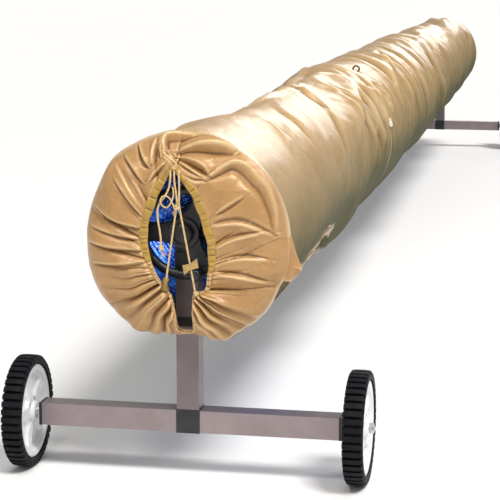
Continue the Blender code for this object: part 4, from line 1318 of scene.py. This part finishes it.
def make_seams():
    """Twin rows of stitches along every round seam, and the folded hems of the underside."""
    build = Build()
    for place in (-COVER_HALF + 0.0095, -COVER_HALF + 0.0145, COVER_HALF - 0.0095,
                  COVER_HALF - 0.0145, -SEAM_Y - 0.0085, -SEAM_Y + 0.0085, SEAM_Y - 0.0085,
                  SEAM_Y + 0.0085):
        y = np.array([place - 0.001, place, place + 0.001])[:, None]
        points = barrel_points(around_barrel(y, 700, 0.02), y)
        normal = grid_normals(points, False)[1]
        if normal[350, 2] < 0:
            normal = -normal
        stitch_row(build, points[1] + normal * (FABRIC / 2 + 0.0002), normal)
    threads = build.finish("seam_stitches", ROOT, "cover_fabric", "thread")

    build = Build()
    for inward in (0.030, -0.030):
        y = np.linspace(-COVER_HALF + 0.02, COVER_HALF - 0.02, 640)[:, None]
        edge = low_edge(y) if inward > 0 else HIGH_EDGE + 0 * y
        points = barrel_points(np.concatenate([edge, edge + inward], 1), y)
        across = unit(points[:, 1] - points[:, 0])
        scrunch = 1 + 0.22 * np.sin(y[:, 0] / 0.0105 + 2.5 * np.sin(y[:, 0] / 0.13))
        path = points[:, 0] + across * 0.008
        over = unit(np.cross(across, np.gradient(path, axis=0)))
        tube(build, path, 0.0098 * (0.9 + 0.1 * scrunch), 0.0030 * scrunch, sides=12, up=over,
             power=0.8)
    hems = build.finish("underside_hems", ROOT, "cover_fabric", "hem")
    return threads, hems


def make_straps():
    """The straps with their edge stitches, and the slider frame on each."""
    across = np.linspace(-0.0125, 0.0125, 11)
    for number, (y, start, stop, middle) in STRAPS.items():
        build = Build()
        degrees = np.linspace(start, stop, 16 + 2 * int(stop - start))
        lift = 0.0007 + 0.0005 * np.minimum(ease(degrees, start, start + 10),
                                            1 - ease(degrees, stop - 10, stop))
        points = np.stack([section_point(y + w + 0 * degrees, degrees,
                                         lift + 0.0005 * math.cos(w * 250) - 0.0004)
                           for w in across], 1)
        arc = math.radians(stop - start)
        cloth(build, points, False, 0.0013,
              uv=(np.linspace(0, MEAN_RADIUS * arc, len(degrees)), across))
        for edge in (1, 9):
            line = points[:, edge]
            normal = grid_normals(points, False)[:, edge]
            out = np.sum(normal * (line - np.array([0, y, COVER_Z])), axis=1)
            normal = normal * np.sign(out)[:, None]
            stitch_row(build, line + normal * 0.0008, normal, 1)
        strap = build.finish(f"strap_{number}", ROOT, "webbing", "webbing", "thread",
                             stands_for=f"underside_strap_{number}")

        build = Build()
        centre = section_point(np.array(float(y)), np.array(float(middle)), 0.0045)
        out = radial(math.radians(middle))
        around = np.array([-out[2], 0, out[0]])
        t = circle(72)
        path = centre + np.outer(0.0155 * bent(np.cos(t), 0.45), ALONG) \
            + np.outer(0.0086 * bent(np.sin(t), 0.45), around)
        tube(build, path, 0.0024, 0.0032, closed=True, up=out, power=0.8)
        bar = centre + np.outer(np.linspace(-0.015, 0.015, 14), ALONG) + out * 0.0026
        tube(build, bar, 0.0026, 0.0011, up=out, power=0.8)
        build.finish(f"slider_frame_{number}", f"slider_{number}", "buckle", "buckle",
                     stands_for=f"strap_slider_{number}")


def make_post_shadow_band():
    """A black band round the front post, where it leaves the cover: a dark piece standing for the
    shade under the cover's hem, which is painted shade.
    """
    low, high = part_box("front_post")
    centre = np.array([(low[0] + high[0]) / 2, (low[1] + high[1]) / 2, 0.2825])
    half = (high[0] - low[0]) / 2 + 0.0004
    turn = circle(96)
    square = np.maximum(np.abs(np.cos(turn)), np.abs(np.sin(turn)))
    reach = half / square * (1 - 0.05 * np.abs(np.sin(2 * turn)) ** 12)
    path = centre + np.stack([reach * np.cos(turn), reach * np.sin(turn), 0 * turn], -1)
    tube_piece("front_post_shadow_band", "black_plastic", "black", path, 0.0009, 0.0092, closed=True,
               up=UP, power=0.5)


def make_flap():
    """Loose cloth at the right of the front seam."""
    points = np.array([[(0.180, -2.634, 0.458), (0.186, -2.628, 0.440), (0.189, -2.618, 0.420)],
                       [(0.184, -2.640, 0.430), (0.193, -2.634, 0.415), (0.199, -2.624, 0.400)],
                       [(0.181, -2.641, 0.398), (0.194, -2.637, 0.391), (0.205, -2.630, 0.386)],
                       [(0.175, -2.640, 0.366), (0.184, -2.634, 0.364), (0.190, -2.620, 0.368)]])
    down, across = np.linspace(0, 3, 40), np.linspace(0, 2, 22)
    for axis, fine in ((0, down), (1, across)):
        at = np.arange(points.shape[axis])
        points = np.apply_along_axis(lambda line: np.interp(fine, at, line), axis, points)
    soft = np.sin(down[:, None] * 2.1 + across[None, :] * 1.4) * 0.0016
    points = points + soft[..., None] * np.array([0.6, -0.8, 0.0])
    build = Build()
    cloth(build, points, False, FABRIC, uv=(down * 0.03, across * 0.012))
    flap = build.finish("seam_flap", ROOT, "cover_fabric", "cover")


def make_loop():
    """The loop of webbing that hangs from the raised lower edge."""
    place = np.array([[-2.13]])
    edge = barrel_points(low_edge(place) + 0.01, place)[0, 0]
    turn = circle(60)
    path = edge + np.stack([0.001 * np.sin(turn), 0.011 * np.sin(turn),
                            -0.012 * (1 - np.cos(turn))], -1)
    return tube_piece("underside_loop", "webbing", "webbing", path, 0.0007, 0.0055, closed=True,
                      up=np.array([1.0, 0.0, 0.3]), power=0.7)


def make_eyelet():
    """A small ring sewn on near the top of the seam, where the cloth is tied."""
    steps = np.array([[-1, 0, 1]])
    centre = barrel_points(EYELET[0] + 0.01 * steps, EYELET[1] + 0.002 * steps.T)[1, 1]
    out = radial(EYELET[0])
    side = np.array([-out[2], 0.0, out[0]])
    turn = circle(48)
    ring = centre + out * 0.0085 + 0.0080 * (np.outer(np.cos(turn), side)
                                             + np.outer(np.sin(turn), out))
    return tube_piece("cover_eyelet", "cover_fabric", "hem", ring, 0.0024, 0.0022, closed=True,
                      up=ALONG, power=0.9)


def declare_barrel():
    threads, hems = make_seams()
    make_flap()
    trims = {"front": [hems, threads, make_loop()], "middle": [hems, threads, make_eyelet()],
             "rear": [hems, threads]}


make_straps()
declare_barrel()
make_post_shadow_band()


# ---- wheels ---------------------------------------------------------------------------------------
TYRE_GROOVE = [(-0.0150, 0.0848), (-0.0178, 0.0862), (-0.0180, 0.0905), (-0.0164, 0.0918),
               (-0.0160, 0.0940), (-0.0146, 0.0956), (-0.0080, 0.0960), (0.0, 0.0960)]
TYRE_LUG = [(-0.0150, 0.0848), (-0.0178, 0.0862), (-0.0180, 0.0905), (-0.0180, 0.0922),
            (-0.0179, 0.0972), (-0.0150, 0.1008), (-0.0080, 0.1015), (0.0, 0.1016)]
LUGS = 44
SPOKES = 5


def middle_of(node):
    return np.mean(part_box(node), axis=0)


def mirrored(points):
    return points + [(-x, r) for x, r in reversed(points[:-1])]


def make_tyre(name):
    """A tyre whose outline steps out from the groove to the lug and back, once for each lug."""
    centre = middle_of(name + "_tyre")
    share = np.array([0.0, 0.13, 0.19, 0.34, 0.66, 0.81, 0.87])
    lug = np.array([0.0, 0.0, 1.0, 1.0, 1.0, 1.0, 0.0])
    angle = ((np.arange(LUGS)[:, None] + share) / LUGS * 2 * np.pi).ravel()
    weight = np.tile(lug, LUGS)[:, None, None]
    groove, top = np.array(mirrored(TYRE_GROOVE)), np.array(mirrored(TYRE_LUG))
    profile = groove * (1 - weight) + top * weight
    x, r = profile[..., 0], profile[..., 1]
    points = centre + np.stack([x, r * np.sin(angle)[:, None], r * np.cos(angle)[:, None]], -1)
    build = Build()
    build.add(points, grid_faces(len(angle), x.shape[1], True, True))
    build.finish(name + "_tread", name, "tyre", "tyre", stands_for=name + "_tyre", crisp=32)


def hub_height(r, angle):
    """Height of the hub's moulded face over its middle plane."""
    turn = 2 * np.pi / SPOKES
    off = np.abs((angle + turn / 2) % turn - turn / 2)
    beside = r * np.sin(off)
    spoke = np.interp(r, [0.019, 0.045, 0.072], [0.0108, 0.0078, 0.0100])
    pocket = ease(beside, 0.0105, 0.0125) * ease(r, 0.0275, 0.0300) * (1 - ease(r, 0.0660, 0.0685))
    rib = bell(beside - 0.0088, 0.0011) * ease(r, 0.022, 0.026) \
        * (1 - ease(r, 0.064, 0.068)) * 0.0012
    web = spoke * (1 - pocket) + 0.0032 * pocket + rib
    boss = 0.0180 - 0.0006 * ease(r, 0.0130, 0.0150)
    ring = 0.0146 + 0.0008 * bell(r - 0.0800, 0.0022)
    height = np.where(r < 0.0152, boss, web)
    height = height + (boss - height) * (1 - ease(r, 0.0152, 0.0185)) * (r >= 0.0152)
    return height + (ring - height) * ease(r, 0.0705, 0.0740)


def make_hub(name):
    centre = middle_of(name + "_hub")
    steps = 160
    angle = circle(steps)[:, None]
    radii = np.concatenate([[0.0054, 0.0060], np.linspace(0.0130, 0.0190, 7),
                            np.linspace(0.0215, 0.0305, 6), np.linspace(0.0345, 0.0640, 6),
                            np.linspace(0.0660, 0.0760, 9), np.linspace(0.0775, 0.0825, 5),
                            [0.0836, 0.0842]])
    r = np.broadcast_to(radii, (steps, len(radii)))
    x = hub_height(r, angle + 0.3)
    x = np.where(r > 0.0840, x - 0.0008, x)
    x = np.concatenate([x, -x[:, ::-1]], axis=1)
    r = np.concatenate([r, r[:, ::-1]], axis=1)
    points = centre + np.stack([x, r * np.sin(angle), r * np.cos(angle)], -1)
    build = Build()
    build.add(points, grid_faces(steps, r.shape[1], True, True)[:, ::-1])
    build.finish(name + "_hub_moulding", name, "white_hub", "hub", stands_for=name + "_hub",
                 crisp=40)

    build = Build()
    bolt = [(0.0004, 0.0118), (0.0022, 0.0118), (0.0028, 0.0112), (0.0028, 0.0088),
            (0.0004, 0.0088)]
    for sign in (-1, 1):
        for k in range(SPOKES):
            turn = 2 * math.pi * (k + 0.5) / SPOKES - 0.3
            spot = centre + 0.0225 * np.array([0, math.sin(turn), math.cos(turn)])
            lathe(build, bolt, spot, (sign, 0, 0), 6)
    build.finish(name + "_hub_bolts", name, "zinc_steel", "zinc", crisp=30)


for end in ("front", "rear"):
    for side in ("left", "right"):
        make_tyre(f"{end}_wheel_{side}")
        make_hub(f"{end}_wheel_{side}")


# ---- hand wheel and blanket -----------------------------------------------------------------------
RIM_RADIUS = 0.0740
HAND_WHEEL_Y = -2.6355
# Outlines turned about the Y axis: (radius, distance in front of the hand wheel's middle plane).
BOSS = [(0.0106, -0.0098), (0.0262, -0.0098), (0.0280, -0.0080), (0.0280, 0.0085),
        (0.0265, 0.0100), (0.0200, 0.0102), (0.0106, 0.0098)]
KNOB_LUG = [(0.0038, -0.0094), (0.0110, -0.0094), (0.0120, -0.0082), (0.0120, 0.0084),
            (0.0110, 0.0094), (0.0038, 0.0094)]
CAP = [(0.0004, 0.0252), (0.0090, 0.0248), (0.0150, 0.0232), (0.0182, 0.0200),
       (0.0186, 0.0104), (0.0170, 0.0104), (0.0166, 0.0196), (0.0004, 0.0220)]
GRIP = [(0.0038, 0.0378), (0.0086, 0.0378), (0.0112, 0.0350), (0.0115, 0.0325),
        (0.0104, 0.0230), (0.0098, 0.0160), (0.0088, 0.0105), (0.0084, 0.0098), (0.0038, 0.0098)]


def make_hand_wheel():
    centre = np.array([0, HAND_WHEEL_Y, HUB_Z])
    build = Build()
    t = circle(192)
    path = centre + RIM_RADIUS * np.stack([np.cos(t), 0 * t, np.sin(t)], -1)
    tube(build, path, 0.0082 * (1 + 0.035 * np.cos(24 * t)), sides=20, closed=True, up=ALONG)
    at = np.linspace(0.018, 0.0735, 24)
    half = np.interp(at, [0.018, 0.036, 0.056, 0.0735], [0.0225, 0.0172, 0.0168, 0.0215])
    deep = np.interp(at, [0.018, 0.045, 0.0735], [0.0052, 0.0040, 0.0046])
    for k in range(3):
        along = radial(math.radians(60 + 120 * k))
        beside = np.array([-along[2], 0, along[0]])
        spoke = centre + np.outer(at, along)
        tube(build, spoke, half, deep, sides=28, up=ALONG, power=0.5)
        for side in (-1, 1):
            edge = spoke + np.outer(side * (half - 0.0030), beside) - ALONG * 0.0036
            tube(build, edge, 0.0016, sides=10)
    knob = centre + RIM_RADIUS * radial(math.radians(-70))
    lathe(build, BOSS, centre, -ALONG, 64)
    lathe(build, KNOB_LUG, knob, -ALONG, 32)
    build.finish("hand_wheel_moulding", "reel", "hand_wheel_plastic", "hand_wheel",
                 stands_for="hand_wheel", crisp=40)

    for name, body, paint, outline, place, steps, crisp, stands_for in (
            ("hand_wheel_cap", "reel", "black", CAP, centre, 48, 40, None),
            ("spinner_grip", "spinner_knob", "hand_wheel", GRIP, knob, 40, 50, "hand_wheel_knob")):
        build = Build()
        lathe(build, outline, place, -ALONG, steps)
        build.finish(name, body, "hand_wheel_plastic", paint, stands_for=stands_for, crisp=crisp)


def make_blanket():
    """Bubble film wound on the roller, with the edges of its turns showing at the ends."""
    outer, half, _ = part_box("solar_blanket_roll")[1]
    inner, pitch = 0.0415, 0.0068
    angle = circle(220)[:, None]
    radii = np.linspace(inner, outer, 118)[None, :]
    swirl = (radii - inner) / pitch + angle / (2 * np.pi)
    crumple = soft_noise(6 * np.cos(angle) + 0 * radii, 6 * np.sin(angle) + radii / 0.02, 71, 2)
    depth = 0.0038 * np.abs(np.sin(np.pi * swirl)) ** 0.6 + 0.0022 * crumple
    wave = 1 + 0.010 * soft_noise(3 * np.cos(angle) + radii / 0.05, 3 * np.sin(angle), 72)
    r_end = np.minimum(radii * wave, outer)
    y_body = np.linspace(-half + 0.012, half - 0.012, 180)[None, :]
    slack = 0.0016 * soft_noise(y_body / 0.35, 2.2 * np.cos(angle) + 2.2 * np.sin(angle), 73, 2)
    r = np.concatenate([r_end, outer - 0.0022 + slack, r_end[:, ::-1]], 1)
    y_end = half - 0.006 + depth
    y = np.clip(np.concatenate([-y_end, y_body + 0 * angle, y_end[:, ::-1]], 1), -half, half)
    build = Build()
    build.add(np.stack([r * np.cos(angle), y, HUB_Z + r * np.sin(angle)], -1),
              grid_faces(220, r.shape[1], True, True)[:, ::-1])
    roll = build.finish("bubble_blanket", "reel", "blanket", "blanket",
                        stands_for="solar_blanket_roll")


make_hand_wheel()
make_blanket()
